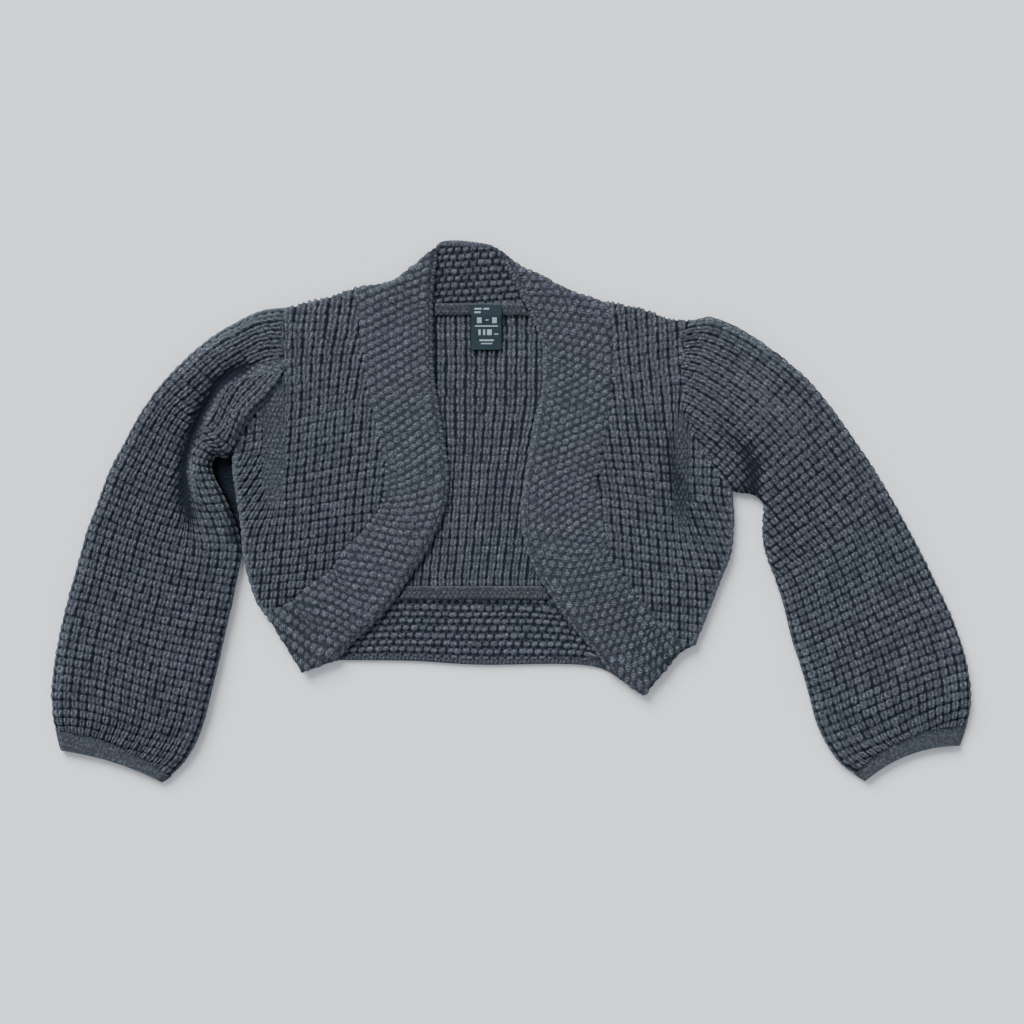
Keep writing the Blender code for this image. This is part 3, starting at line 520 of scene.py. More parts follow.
def moss_bumps(
    along, across, salt, offset=0.5, half=(0.46, 0.63), tilt=-0.55, legs=0.5, ground=0.16
):
    """Relief of moss stitch: rows of leaf-shaped bumps, each row shifted by offset from the
    last, on the legs of the stitches between them."""
    along = along + wander(across, along * 0.5, 0.10, salt)
    across = across + wander(along * 0.6, across, 0.09, salt + 3)
    at_row = np.floor(across).astype(np.int64)
    best, strand = np.full(along.shape, ground), np.zeros(along.shape)
    for j in (at_row - 1, at_row, at_row + 1):
        shifted = along - j * offset
        at_bump = np.floor(shifted).astype(np.int64)
        for i in (at_bump - 1, at_bump, at_bump + 1):
            x = shifted - i - 0.5 - 0.18 * (scatter(i, j, salt) - 0.5)
            y = across - j - 0.5 - 0.14 * (scatter(i, j, salt + 1) - 0.5)
            turn = tilt + 0.4 * (scatter(i, j, salt + 2) - 0.5)
            size = 0.90 + 0.22 * scatter(i, j, salt + 5)
            u, v = (x + turn * y) / half[0] / size, (y - turn * x) / half[1] / size
            tall = 1.0 - 0.34 * scatter(i, j, salt + 4)
            relief = tall * np.clip(1 - np.abs(u) ** 2.5 - np.abs(v) ** 2.1, 0, 1) ** 0.52
            nearer = relief > best
            best = np.where(nearer, relief, best)
            strand = np.where(nearer, x + 0.5 * y, strand)
            for side in (-1, 1):
                leg = x - side * (0.10 + 0.42 * (y + 0.15))
                relief = legs * np.sqrt(np.clip(1 - (leg / 0.16) ** 2 - ((y - 0.4) / 0.45) ** 2, 0, 1))
                nearer = relief > best
                best = np.where(nearer, relief, best)
                strand = np.where(nearer, y, strand)
    return best, strand


def edge_chain(relief, strand, away, along, width=3.4):
    """Lays the smooth chain of slipped stitches over a band's free edge, away in millimetres."""
    chain = 0.58 + 0.16 * np.sin(2 * math.pi * (along - 0.18 * away)) * np.clip(away, 0, 1)
    chain = chain * np.sqrt(np.clip(1 - ((away - 0.45 * width) / (0.62 * width)) ** 2, 0, 1))
    share = smoothstep((width - away) / 0.7 + 0.5)
    return relief * (1 - share) + chain * share, strand * (1 - share) + 0.7 * along * share


# ---------------------------------------------------------------- shells
def grid_normals(base):
    normals = np.cross(np.gradient(base, axis=0), np.gradient(base, axis=1))
    normals /= np.maximum(np.linalg.norm(normals, axis=2, keepdims=True), 1e-9)
    return -normals if normals[..., 2].mean() < 0 else normals


def quads(m, n, wrap=False):
    """Faces of a grid of m by n points, numbered row by row."""
    i, j = np.meshgrid(np.arange(m if wrap else m - 1), np.arange(n - 1), indexing="ij")
    i, j = i.ravel(), j.ravel()
    after = (i + 1) % m
    return np.column_stack([i * n + j, after * n + j, after * n + j + 1, i * n + j + 1])


UNDER_SHADE = 0.35  # how deep in shade the walls and undersides count as


def add_cloth(name, points, faces, flat_faces, layers, material):
    """One closed mesh, given in millimetres, with its stitch coordinates, its strands and the depth at
    each point that its painted shade follows.
    """
    mesh = bpy.data.meshes.new(name)
    place = (np.asarray(points, float) - CENTRE) * MM
    mesh.from_pydata(place.tolist(), [], faces)
    mesh.update()
    mesh.shade_smooth()
    for polygon in mesh.polygons[len(mesh.polygons) - flat_faces:]:
        polygon.use_smooth = False
    corner = np.empty(len(mesh.loops), np.int32)
    mesh.loops.foreach_get("vertex_index", corner)
    stitch = np.zeros((len(points), 2))
    told = layers["stitch"].reshape(-1, 2)
    stitch[: len(told)] = told
    uv = mesh.uv_layers.new(name="stitches")
    uv.data.foreach_set("uv", (stitch[corner] * MM).ravel())
    for key, elsewhere in (("deep", UNDER_SHADE), ("strand", 0.0)):
        values = np.full(len(points), elsewhere)
        values[: len(told)] = layers[key].ravel()
        layer = mesh.attributes.new(key, "FLOAT", "POINT")
        layer.data.foreach_set("value", values)
    mesh.materials.append(material)
    piece = bpy.data.objects.new(name, mesh)
    bpy.context.scene.collection.objects.link(piece)
    return piece


def border_loop(m, n):
    """The places round the border of a grid of m by n points, in order."""
    loop = [(i, 0) for i in range(m - 1)] + [(m - 1, j) for j in range(n - 1)]
    return loop + [(i, n - 1) for i in range(m - 1, 0, -1)] + [(0, j) for j in range(n - 1, 0, -1)]


def unrepeated(ids):
    """A ring of point numbers without those that repeat the one before."""
    return [v for at, v in enumerate(ids) if v != ids[at - 1]]


WALL_RINGS = ((1, 0.4), (3, 0.0))  # how far in each ring of a wall lies, in points, and how high


def knit_panel(name, node, kind, base, relief, strand, rise, stitch, bottom):
    """A laid panel: its knitted face on the smooth base, short walls and a plain underside."""
    m, n = base.shape[:2]
    top = base + grid_normals(base) * (rise * relief)[..., None]
    points, faces = [top.reshape(-1, 3)], quads(m, n).tolist()
    loop = border_loop(m, n)
    ring, count = [i * n + j for i, j in loop], m * n
    for tuck, share in WALL_RINGS:
        kept, following, places = {}, [], []
        for i, j in loop:
            inner = (min(max(i, tuck), m - 1 - tuck), min(max(j, tuck), n - 1 - tuck))
            if inner not in kept:
                kept[inner] = count + len(places)
                x, y = base[inner][:2] if tuck > 1 else 0.5 * (base[i, j, :2] + base[inner][:2])
                places.append((x, y, bottom + share * (base[i, j, 2] - bottom)))
            following.append(kept[inner])
        for k in range(len(loop)):
            after = (k + 1) % len(loop)
            face = unrepeated([ring[k], following[k], following[after], ring[after]])
            if len(face) > 2:
                faces.append(face)
        points.append(np.array(places))
        count += len(places)
        ring = following
    faces.append(unrepeated(ring)[::-1])
    # Painted shade: the colour darkens towards the gap colour the lower a point lies in its stitches, with
    # the painted shade and light of the panel's lines added.
    tone = crease_height(base[..., :2].reshape(-1, 2), PAINTED_SHADE_AND_LIGHT.get(node, ()))
    layers = {"stitch": stitch, "deep": 1 - relief.ravel() + tone, "strand": strand}
    piece = add_cloth(name, np.vstack(points), faces, 1, layers, spun(kind))
    settle(piece, node)


EDGE_INSET = 1.1  # the smooth base stays this far inside an outline that the stitches reach
EDGE_ROUND = {"edge": (4.4, 0.70), "fold": (4.4, 0.70), "hem": (3.4, 0.62), "seam": (2.2, 0.60)}


def panel_base(sides, bottom, loft, s, t, creases=(), sink=1.3):
    """The smooth base of a panel. sides are its low, right, high and left borders, each a list
    of (line, kind) in anticlockwise order, and s and t its stations."""
    ring, kinds, starts = [], [], []
    for side in sides:
        starts.append(sum(len(part) for part in ring))
        for points, kind in side:
            part = even(points, 1.6)
            ring.append(part[:-1])
            kinds += [kind] * (len(part) - 1)
    ring = np.vstack(ring)
    held = {"edge": EDGE_INSET, "fold": EDGE_INSET, "hem": 0.8, "seam": SEAM_GAP / 2, "tucked": -1.6}
    ring = inset(ring, [held[kind] for kind in kinds])
    closed = np.vstack([ring, ring[:1]])
    low, right, high, left = (closed[a : b + 1] for a, b in zip(starts, [*starts[1:], len(ring)]))
    plan = patch(low, high[::-1], left[::-1], right, s, t)
    flat = plan.reshape(-1, 2)
    height = np.full(len(flat), bottom + loft - sink) + crease_height(flat, creases)
    drop = np.zeros(len(flat))
    for kind, (reach, share) in EDGE_ROUND.items():
        lines = [closed[k : k + 2] for k in range(len(ring)) if kinds[k] == kind]
        if lines:
            near = np.clip(1 - distance_to(flat, lines) / reach, 0, 1)
            drop = np.maximum(drop, share * (loft - sink) * (1 - np.sqrt(1 - near**2)))
    rims = [closed[k : k + 2] for k in range(len(ring)) if kinds[k] in ("edge", "hem")]
    rim = smoothstep((2.6 - distance_to(flat, rims)) / 2.0) if rims else np.zeros(len(flat))
    return np.dstack([plan, (height - drop).reshape(plan.shape[:2])]), rim.reshape(plan.shape[:2])


def ease_rim(relief, rim):
    """Fills the gaps that end at an outline, where the cloth turns under."""
    return relief * (1 - rim) + (0.52 + 0.34 * relief) * rim


def table_at(table, y):
    """The middle column, pitch and row slope of a knit table at these heights on the table."""
    columns = np.transpose(table)
    return [np.interp(y, columns[0], values) for values in columns[1:]]


def fan_shift(fan, x, y):
    most, low, high, near, far, top, over = fan
    rising = smoothstep((y - low) / (high - low)) * (1 - smoothstep((y - top) / (over - top)))
    return most * rising * smoothstep((x - near) / (far - near))


def plan_stitches(table, x, y, fan=None):
    """Column and row counts of a panel whose columns run up and down the table."""
    middle, pitch, slope = table_at(table, y)
    shifted = x - fan_shift(fan, x, y) if fan else x
    return (shifted - middle) / pitch, (150 - (y - slope * (x - middle))) / ROW


# ---------------------------------------------------------------- yarn and other materials
def to_linear(code):
    """An sRGB hex colour as the linear values that Blender's shaders take."""
    parts = [int(code[k : k + 2], 16) / 255 for k in (1, 3, 5)]
    return tuple(v / 12.92 if v <= 0.04045 else ((v + 0.055) / 1.055) ** 2.4 for v in parts)


def add_node(tree, kind, values=None, links=None):
    """A shader node with its values, by attribute or socket, and what each socket reads. The
    stops of a colour ramp are places and hex colours."""
    node = tree.nodes.new(kind)
    for key, value in (values or {}).items():
        if key == "stops":
            elements = node.color_ramp.elements
            for _ in value[2:]:
                elements.new(0.5)
            for element, (place, code) in zip(elements, value):
                element.position = place
                element.color = (*to_linear(code), 1.0)
        elif isinstance(key, str) and hasattr(node, key):
            setattr(node, key, value)
        else:
            node.inputs[key].default_value = value
    for key, source in (links or {}).items():
        tree.links.new(source, node.inputs[key])
    return node


def new_material(name, roughness, gloss):
    material = bpy.data.materials.new(name)
    material.use_nodes = True
    tree = material.node_tree
    shader = tree.nodes["Principled BSDF"]
    shader.inputs["Roughness"].default_value = roughness
    shader.inputs["Specular IOR Level"].default_value = gloss
    return material, tree, shader


FLECKS, PATCHES, FIBRE = (720.0, 3.0, 0.72), (13.0, 1.0, 0.4), (1500.0, 2.0, 0.6)
TINTS = ((0.34, "#8C8088"), (0.5, "#8B8B8B"), (0.66, "#848E86"))


def yarn(name, ground, light, dark, gap, shade, fuzz=0.35, strand_turns=3.4):
    """Wool-blend yarn, spun from dyed and undyed fibre and plied, so it is heathered: light and
    dark flecks lie along its plies. It is matt with a soft sheen from loose fibres. The deeper a
    point lies, the more its colour is painted towards gap, a near-black painted shade, up to shade,
    and the less sheen it has."""
    material, tree, shader = new_material(name, 0.9, 0.18)
    place = add_node(tree, "ShaderNodeTexCoord").outputs["Object"]
    deep, strand = (
        add_node(tree, "ShaderNodeAttribute", {"attribute_name": key}).outputs["Fac"]
        for key in ("deep", "strand")
    )
    flecks, patches, fibre = (
        add_node(
            tree, "ShaderNodeTexNoise", {"Scale": scale, "Detail": detail, "Roughness": roughness},
            {"Vector": place},
        ).outputs["Fac"]
        for scale, detail, roughness in (FLECKS, PATCHES, FIBRE)
    )
    turns = add_node(
        tree, "ShaderNodeMath", {"operation": "MULTIPLY", 1: 2 * math.pi * strand_turns}, {0: strand}
    )
    ply = add_node(tree, "ShaderNodeMath", {"operation": "SINE"}, {0: turns.outputs[0]})
    wool, hue = (
        add_node(tree, "ShaderNodeValToRGB", {"stops": stops}, {"Fac": source}).outputs["Color"]
        for stops, source in (
            (((0.34, dark), (0.50, ground), (0.69, light)), flecks), (TINTS, patches),
        )
    )
    tinted = add_node(
        tree, "ShaderNodeMix", {"data_type": "RGBA", "blend_type": "OVERLAY", 0: 0.5},
        {6: wool, 7: hue},
    )
    # Painted shade: the deeper a point lies, the more its colour is mixed towards the near-black gap
    # colour, up to shade.
    painted_shade = add_node(
        tree, "ShaderNodeMapRange",
        {"From Min": 0.32, "From Max": 0.88, "To Min": 0.0, "To Max": shade}, {"Value": deep},
    ).outputs["Result"]
    with_painted_shade = add_node(
        tree, "ShaderNodeMix", {"data_type": "RGBA", "blend_type": "MIX", 7: (*to_linear(gap), 1.0)},
        {0: painted_shade, 6: tinted.outputs[2]},
    )
    tree.links.new(with_painted_shade.outputs[2], shader.inputs["Base Color"])
    height = flecks
    for share, source in ((0.42, ply.outputs[0]), (fuzz, fibre)):
        height = add_node(
            tree, "ShaderNodeMath", {"operation": "MULTIPLY_ADD", 1: share}, {0: source, 2: height}
        ).outputs[0]
    bump = add_node(tree, "ShaderNodeBump", {"Strength": 0.7, "Distance": 0.0006}, {"Height": height})
    tree.links.new(bump.outputs["Normal"], shader.inputs["Normal"])
    sheen = add_node(
        tree, "ShaderNodeMapRange",
        {"From Min": 0.0, "From Max": 0.9, "To Min": 0.12, "To Max": 0.0}, {"Value": painted_shade},
    )
    tree.links.new(sheen.outputs["Result"], shader.inputs["Sheen Weight"])
    shader.inputs["Sheen Roughness"].default_value = 0.6
    return material


def label_satin():
    """Woven polyester satin: close smooth weft with a faint gloss, and lighter woven threads."""
    material, tree, shader = new_material("Woven_Satin_Teal", 0.75, 0.25)
    place = add_node(tree, "ShaderNodeUVMap", {"uv_map": "stitches"}).outputs["UV"]
    strand = add_node(tree, "ShaderNodeAttribute", {"attribute_name": "strand"}).outputs["Fac"]
    weft = add_node(
        tree, "ShaderNodeTexWave", {"bands_direction": "Y", "Scale": 480.0, "Distortion": 0.6},
        {"Vector": place},
    ).outputs["Fac"]
    ground = add_node(
        tree, "ShaderNodeValToRGB", {"stops": ((0.0, "#1A2830"), (1.0, "#25343D"))}, {"Fac": weft}
    )
    woven = add_node(
        tree, "ShaderNodeMix",
        {"data_type": "RGBA", "blend_type": "MIX", 7: (*to_linear("#9DA9B0"), 1.0)},
        {0: strand, 6: ground.outputs["Color"]},
    )
    tree.links.new(woven.outputs[2], shader.inputs["Base Color"])
    bump = add_node(tree, "ShaderNodeBump", {"Strength": 0.4, "Distance": 0.0002}, {"Height": weft})
    tree.links.new(bump.outputs["Normal"], shader.inputs["Normal"])
    return material


def backdrop_paper():
    """Matt white seamless paper, rolled out flat."""
    material, tree, shader = new_material("Seamless_Paper_White", 0.9, 0.1)
    place = add_node(tree, "ShaderNodeTexCoord").outputs["Object"]
    tone = add_node(tree, "ShaderNodeTexNoise", {"Scale": 1.2, "Detail": 0.0}, {"Vector": place})
    paper = add_node(
        tree, "ShaderNodeValToRGB", {"stops": ((0.3, "#F4F7FA"), (0.7, "#F7F9FC"))},
        {"Fac": tone.outputs["Fac"]},
    )
    tree.links.new(paper.outputs["Color"], shader.inputs["Base Color"])
    return material


# Each kind of yarn: its slot, its name, its ground, light and dark colours, the near-black colour
# of the painted shade in its gaps and hollows, and how far that painted shade takes over.
YARNS = {
    "waffle": (
        "Waffle_Knit_Slate", "Waffle_Wool_Slate", "#505762", "#8B939E", "#39404A", "#121B26", 0.94,
    ),
    "moss": ("Moss_Knit_Slate", "Moss_Wool_Slate", "#4D545F", "#808893", "#383F48", "#0F1722", 0.90),
    "plain": ("Plain_Knit_Slate", "Plain_Wool_Slate", "#434A53", "#6C757E", "#363D45", "#14181F", 0.60),
}
SPUN = {}  # the materials made so far


def spun(kind):
    if kind not in SPUN:
        SPUN[kind] = yarn(*YARNS[kind][1:])
    return SPUN[kind]


# ---------------------------------------------------------------- pieces
def settle(piece, node):
    """Attaches the piece to the root body and hides the solid of the part that it stands for."""
    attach(piece, "root")
    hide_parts(node)


EASY_COLUMN = 5.8  # a front's column of this width lies easy, and one of half this is crowded


def build_front(side, rise, step):
    if side == "right":
        low = at_fractions(line("side_low_right", True), np.array([0.0, 0.30]))[::-1]
        seam = even(line("band_seam_right", True), 1.0)[1:]
        borders = [
            [(np.array([low[0], seam[0]]), "seam")],
            [(seam, "seam")],
            [(line("shoulder_right"), "fold")],
            [
                (armhole(SLEEVE_RIGHT), "seam"),
                (inner_ends(SLEEVE_RIGHT, PIT_ROWS), "seam"),
                (line("underarm_right"), "edge"),
                (line("side_right"), "edge"),
                (np.array([LINES["side_low_right"][0], low[0]]), "edge"),
            ],
        ]
        s = stations(100.0, step, True, False)
        t = stations(232.0, step * 1.05, False, True)
        table, fan, salt = FRONT_RIGHT_KNIT, FAN_RIGHT, 11
    else:
        low = at_fractions(line("side_low_left", True), np.array([0.0, 0.12]))
        seam = even(line("band_seam_left"), 1.0)[:-1]
        borders = [
            [(np.array([seam[-1], low[1]]), "seam")],
            [
                (np.array([low[1], LINES["side_low_left"][0]]), "edge"),
                (line("side_left", True), "edge"),
                (armhole(SLEEVE_LEFT)[::-1], "seam"),
            ],
            [(line("shoulder_left"), "fold")],
            [(seam, "seam")],
        ]
        s = stations(100.0, step, False, False)
        t = stations(240.0, step * 1.05, False, True)
        table, fan, salt = FRONT_LEFT_KNIT, FAN_LEFT, 23
    name = "front_" + side
    base, rim = panel_base(borders, UPPER, LOFT, s, t, CREASES[name], sink=rise - 0.6)
    column, row = plan_stitches(table, base[..., 0], base[..., 1], fan)
    high = smoothstep((base[..., 1] - 20) / 70)
    relief, strand = v_stitches(
        column, row, salt, (0.17, 0.28), 0.17, 0.58 + 0.10 * high, (0.48, 0.52, 0.59 + 0.09 * high, 0.70)
    )
    squeeze = np.abs(np.gradient(column, axis=0) / np.gradient(base[..., 0], axis=0)) * EASY_COLUMN
    calm = smoothstep((2.1 - squeeze) / 0.7)
    fine, fine_strand = moss_bumps(base[..., 0] / 2.9, base[..., 1] / 3.4, salt + 7)
    relief = ease_rim(relief * calm + (0.28 + 0.34 * fine) * (1 - calm), rim)
    strand = np.where(calm > 0.5, strand, fine_strand)
    stitch = np.dstack([column * COLUMN, row * ROW])
    knit_panel(
        "knitted_" + name, name, "waffle", base, relief, strand, rise, stitch, UPPER
    )


def build_band(side, rise, step):
    free = even(line("free_edge_" + side), 1.0)[:-5]  # the sharp corner at the neck is blunted
    if side == "right":
        borders = [
            [(line("band_side_right"), "edge")],
            [(line("band_hem_right"), "edge"), (free, "edge")],
            [(np.vstack([free[-1:], even(line("neck_fold_right"), 1.0)[4:]]), "fold")],
            [(line("band_seam_right"), "seam")],
        ]
        s, offset, salt, tilt = stations(48.0, step, False, True), 0.42, 31, -0.35
    else:
        s, offset, salt, tilt = stations(50.0, step, True, False), -0.42, 43, -0.5
        borders = [
            [(line("band_side_left", True), "edge")],
            [(line("band_seam_left", True), "seam")],
            [(np.vstack([even(line("neck_fold_left"), 1.0)[:-4], free[-1:]]), "fold")],
            [(free[::-1], "edge"), (line("band_hem_left", True), "edge")],
        ]
    name = "band_" + side
    t = stations(290.0, step * 1.15, True, True)
    base, _ = panel_base(borders, UPPER, BAND_LOFT, s, t, sink=rise - 0.5)
    plan = base[..., :2].reshape(-1, 2)
    to_tip = np.linalg.norm(base[..., :2] - LINES["free_edge_" + side][-1], axis=2)
    tip = smoothstep((24 - to_tip) / 22)
    base[..., 2] -= tip * np.clip(base[..., 2] - UPPER - 0.4, 0, None)
    along = edge_place(plan, base[len(s) // 2, ::4, :2])[0].reshape(base.shape[:2]) / 5.5
    away = edge_place(plan, line("free_edge_" + side))[1].reshape(base.shape[:2])
    across = (away if side == "left" else -away) / 4.8
    relief, strand = moss_bumps(along, across, salt, offset, tilt=tilt, ground=0.30)
    relief, strand = edge_chain(relief, strand, away, along)
    # Towards the tip the stitches flatten and, as the painted shade follows their depth, the colour darkens
    # there.
    relief = relief * (1 - 0.45 * tip) * smoothstep(to_tip / 5)
    stitch = np.dstack([along * MOSS_STEP, across * MOSS_ROW])
    knit_panel(
        "knitted_" + name, name, "moss", base, relief, strand, rise, stitch, UPPER,
    )


HIDDEN_STEP = 7.0  # between two points of a panel where another covers it
HEM_HEIGHT = COLLAR_HEIGHT = 45.0


def build_back(rise, step):
    ends = inner_ends(SLEEVE_RIGHT, UNDERARM_ROWS)
    borders = [
        [(line("back_hem_seam"), "seam")],
        [(line("side_left", True), "edge"), (armhole(SLEEVE_LEFT)[::-1], "seam")],
        [
            (line("shoulder_left"), "edge"), (line("back_neck", True), "seam"),
            (line("shoulder_right"), "edge"),
        ],
        [
            (armhole(SLEEVE_RIGHT), "seam"), (ends, "tucked"),
            (np.vstack([ends[-1:], line("side_right")]), "edge"),
        ],
    ]
    s = stations(282.0, step, False, False, fine=(0.26, 0.665), coarse=HIDDEN_STEP)
    t = stations(200.0, step * 1.2, False, False)
    base, _ = panel_base(borders, 0.0, LOFT, s, t, sink=rise - 0.3)
    column, row = plan_stitches(BACK_KNIT, base[..., 0], base[..., 1])
    relief, strand = v_stitches(column, row, 57, (0.19, 0.24), 0.19, 0.66, (0.44, 0.45, 0.6, 0.55))
    x, y = base[..., 0], base[..., 1]
    # Where the back is out of sight it lies smooth. In the underarm hole it is lowered and has no relief,
    # so its colour is painted in full shade there, near black.
    shown = smoothstep((x + 88) / 8) * smoothstep((36 - x) / 8)
    hole = smoothstep((-172 - x) / 5) * smoothstep((y + 28) / 6) * smoothstep((48 - y) / 6)
    relief = relief * shown + 0.5 * (1 - shown) * (1 - hole)
    base[..., 2] = np.maximum(base[..., 2] - 2.6 * hole, np.minimum(base[..., 2], 0.5))
    stitch = np.dstack([column * BACK_COLUMN, row * ROW])
    knit_panel(
        "knitted_back", "back", "waffle", base, relief, strand, rise, stitch, 0.0
    )


def build_hem_band(rise, step):
    borders = [
        [(line("back_hem"), "hem")],
        [(line("band_side_left", True), "edge"), (line("side_low_left", True), "edge")],
        [(line("back_hem_seam", True), "seam")],
        [(line("side_low_right"), "edge"), (line("band_side_right"), "edge")],
    ]
    s = stations(262.0, step, False, False, fine=(0.08, 0.80), coarse=HIDDEN_STEP)
    t = stations(HEM_HEIGHT, step, True, False)
    base, rim = panel_base(borders, 0.0, LOFT, s, t, sink=rise - 0.5)
    along, across = (base[..., 0] + 120) / HEM_STEP, np.broadcast_to(t * 9.4, base.shape[:2])
    relief, strand = moss_bumps(along, across, 67, 0.49, (0.50, 0.40), 0.1, 0.40, 0.07)
    shown = smoothstep((base[..., 0] + 118) / 8) * smoothstep((66 - base[..., 0]) / 8)
    relief = ease_rim(relief, rim)
    away = np.broadcast_to(t * HEM_HEIGHT, relief.shape)
    relief, strand = edge_chain(relief, strand, away, along * 2, 3.0)
    relief = relief * shown + 0.5 * (1 - shown)
    stitch = np.dstack([along * HEM_STEP, across * MOSS_ROW])
    knit_panel(
        "knitted_hem_band", "hem_band_back", "moss", base, relief, strand, rise, stitch, 0.0,
    )


def build_collar(rise, step):
    left = even(line("neck_fold_left", True), 1.0)
    right = even(line("neck_fold_right"), 1.0)
    low = even(line("back_neck"), 1.0)
    top = even(line("neck_top"), 1.0)[3:]
    borders = [
        [(low[2:-2], "seam")],
        [(np.vstack([low[-3:-2], left[::-1][3:-4], top[:1]]), "edge")],
        [(top, "hem")],
        [(np.vstack([right[:-3], low[2:3]]), "edge")],
    ]
    s = stations(100.0, step, False, False)
    t = stations(COLLAR_HEIGHT, step, False, True)
    base, _ = panel_base(borders, 0.0, LOFT, s, t, sink=rise - 0.5)
    along = (base[..., 0] + 60) / COLLAR_STEP
    across = (base[..., 1] - 0.08 * base[..., 0] - 130) / MOSS_ROW
    relief, strand = moss_bumps(along, across, 71, 0.5, (0.47, 0.42), 0.1, 0.40, 0.08)
    away = np.broadcast_to((1 - t) * COLLAR_HEIGHT, relief.shape)
    relief, strand = edge_chain(relief, strand, away, along * 2, 3.6)
    stitch = np.dstack([along * COLLAR_STEP, across * MOSS_ROW])
    knit_panel(
        "knitted_collar", "collar_back", "moss", base, relief, strand, rise, stitch, 0.0,
    )


def spline_rows(rows, at):
    """The sections of a tube at these places along it, with the bow as a vector."""
    table = [(*row[:4], *(row[4] * upward_of(rows, k)), *row[5:]) for k, row in enumerate(rows)]
    table = np.array(table)
    padded = run_on(table)
    k = np.minimum(np.floor(at).astype(int), len(rows) - 2)
    return catmull_rom(*(padded[k + shift] for shift in range(4)), (at - k)[:, None])


SQUARE_PULL = 0.03  # how much square rows weigh against even ones


def row_counts(grid, row_size):
    """The count of rows at each point of a sleeve's plan grid, across by along: an even distance
    apart along every column and, as far as that allows, square to the columns."""
    m, n = grid.shape[:2]
    number = np.arange(m * n).reshape(m, n)
    down = np.gradient(grid, axis=1)
    down /= np.linalg.norm(down, axis=2, keepdims=True)
    travel = np.linalg.norm(np.diff(grid, axis=1), axis=2)
    slide = (np.diff(grid, axis=0) * 0.5 * (down[1:] + down[:-1])).sum(axis=2)
    system, wanted = np.zeros((m * n, m * n)), np.zeros(m * n)
    pairs = (
        (number[:, :-1], number[:, 1:], travel, 1.0),
        (number[:-1], number[1:], slide, SQUARE_PULL),
    )
    for before, after, gap, weight in pairs:
        before, after, gap = before.ravel(), after.ravel(), weight * gap.ravel() / row_size
        for a, b, share in (
            (before, before, weight), (after, after, weight),
            (before, after, -weight), (after, before, -weight),
        ):
            np.add.at(system, (a, b), share)
        np.add.at(wanted, after, gap)
        np.add.at(wanted, before, -gap)
    system[0, 0] += 1.0
    return np.linalg.solve(system, wanted).reshape(m, n)


def at_place(grid, across, along):
    """A grid's value at these fractions of the way across it and along it."""
    i, j = across * (grid.shape[0] - 1), along * (grid.shape[1] - 1)
    low_i = np.clip(i.astype(int), 0, grid.shape[0] - 2)
    low_j = np.clip(j.astype(int), 0, grid.shape[1] - 2)
    f, g = i - low_i, j - low_j
    near = grid[low_i, low_j] * (1 - f) + grid[low_i + 1, low_j] * f
    far = grid[low_i, low_j + 1] * (1 - f) + grid[low_i + 1, low_j + 1] * f
    return near * (1 - g) + far * g


def section_places(table, points):
    """Which straight section of a sleeve each plan point lies on, as a fraction of the way along
    the sleeve, and how far across it lies on that section."""
    found, before = np.zeros(len(points)), None
    for k, row in enumerate(table):
        across, away = row[2:4] - row[0:2], points - row[0:2]
        side = across[0] * away[:, 1] - across[1] * away[:, 0]
        if before is not None:
            crossed = before * side <= 0
            found = np.where(crossed, k - 1 + before / np.where(before == side, 1, before - side), found)
        before = side
    low = np.clip(found.astype(int), 0, len(table) - 2)
    part = (found - low)[:, None]
    ends = table[low, :4] * (1 - part) + table[low + 1, :4] * part
    outer, across = ends[:, 0:2], ends[:, 2:4] - ends[:, 0:2]
    return found / (len(table) - 1), ((points - outer) * across).sum(axis=1) / (across**2).sum(axis=1)


MOST_ACROSS, MOST_ALONG = 24, 110  # points of the grid on which a sleeve's rows are counted


def knit_place(rows, knit, columns, marks, spot, along, points, row_size):
    """The column and row of each point of a tube's upper half, given as its plan. knit, if
    given, says how the first sections would lie if the knitting were not cut by its seam."""
    m, n = spot.shape
    i = np.round(np.linspace(0, m - 1, MOST_ACROSS)).astype(int)
    j = np.round(np.linspace(0, n - 1, min(n, MOST_ALONG))).astype(int)
    count = row_counts(points[np.ix_(i, j)], row_size)
    across = np.interp(np.arange(m), i, np.linspace(0, 1, len(i)))[:, None]
    down = np.interp(np.arange(n), j, np.linspace(0, 1, len(j)))[None, :]
    column = np.broadcast_to(marks[:, None], spot.shape)
    row = at_place(count, *np.broadcast_arrays(across, down))
    if knit:
        table = spline_rows([*knit, *rows[len(knit):]], np.linspace(0, len(rows) - 1, 120))
        outer, inner, bow = (table[None, :, k : k + 2] for k in (0, 2, 4))
        grid = bowed(outer, inner, bow, np.linspace(0, 1, 16)[:, None, None])
        count = row_counts(grid, row_size)
        places = section_places(table, points.reshape(-1, 2))
        found, share = (part.reshape(spot.shape) for part in places)
        cut = 1 - smoothstep((along * (len(rows) - 1) - len(knit) + 2) / 2)
        column = column + cut * columns * (share - spot)
        row = at_place(count, np.clip(share, 0, 1), found)
    return column, row


def tube_profile(loft, width, share):
    """The upper half of a laid tube's section, as points and their lengths from the outer end."""
    shoulder, middle = 0.62 * loft, 0.45 * loft
    turn = np.linspace(0, math.pi / 2, 11)
    climb = np.column_stack([shoulder * (1 - np.cos(turn)), middle + (loft - middle) * np.sin(turn)])
    profile = np.vstack([climb, (climb * (-1, 1) + (width, 0))[::-1]])
    along = lengths(profile)
    blend = share * along / along[-1] + (1 - share) * profile[:, 0] / width
    return profile, along, blend


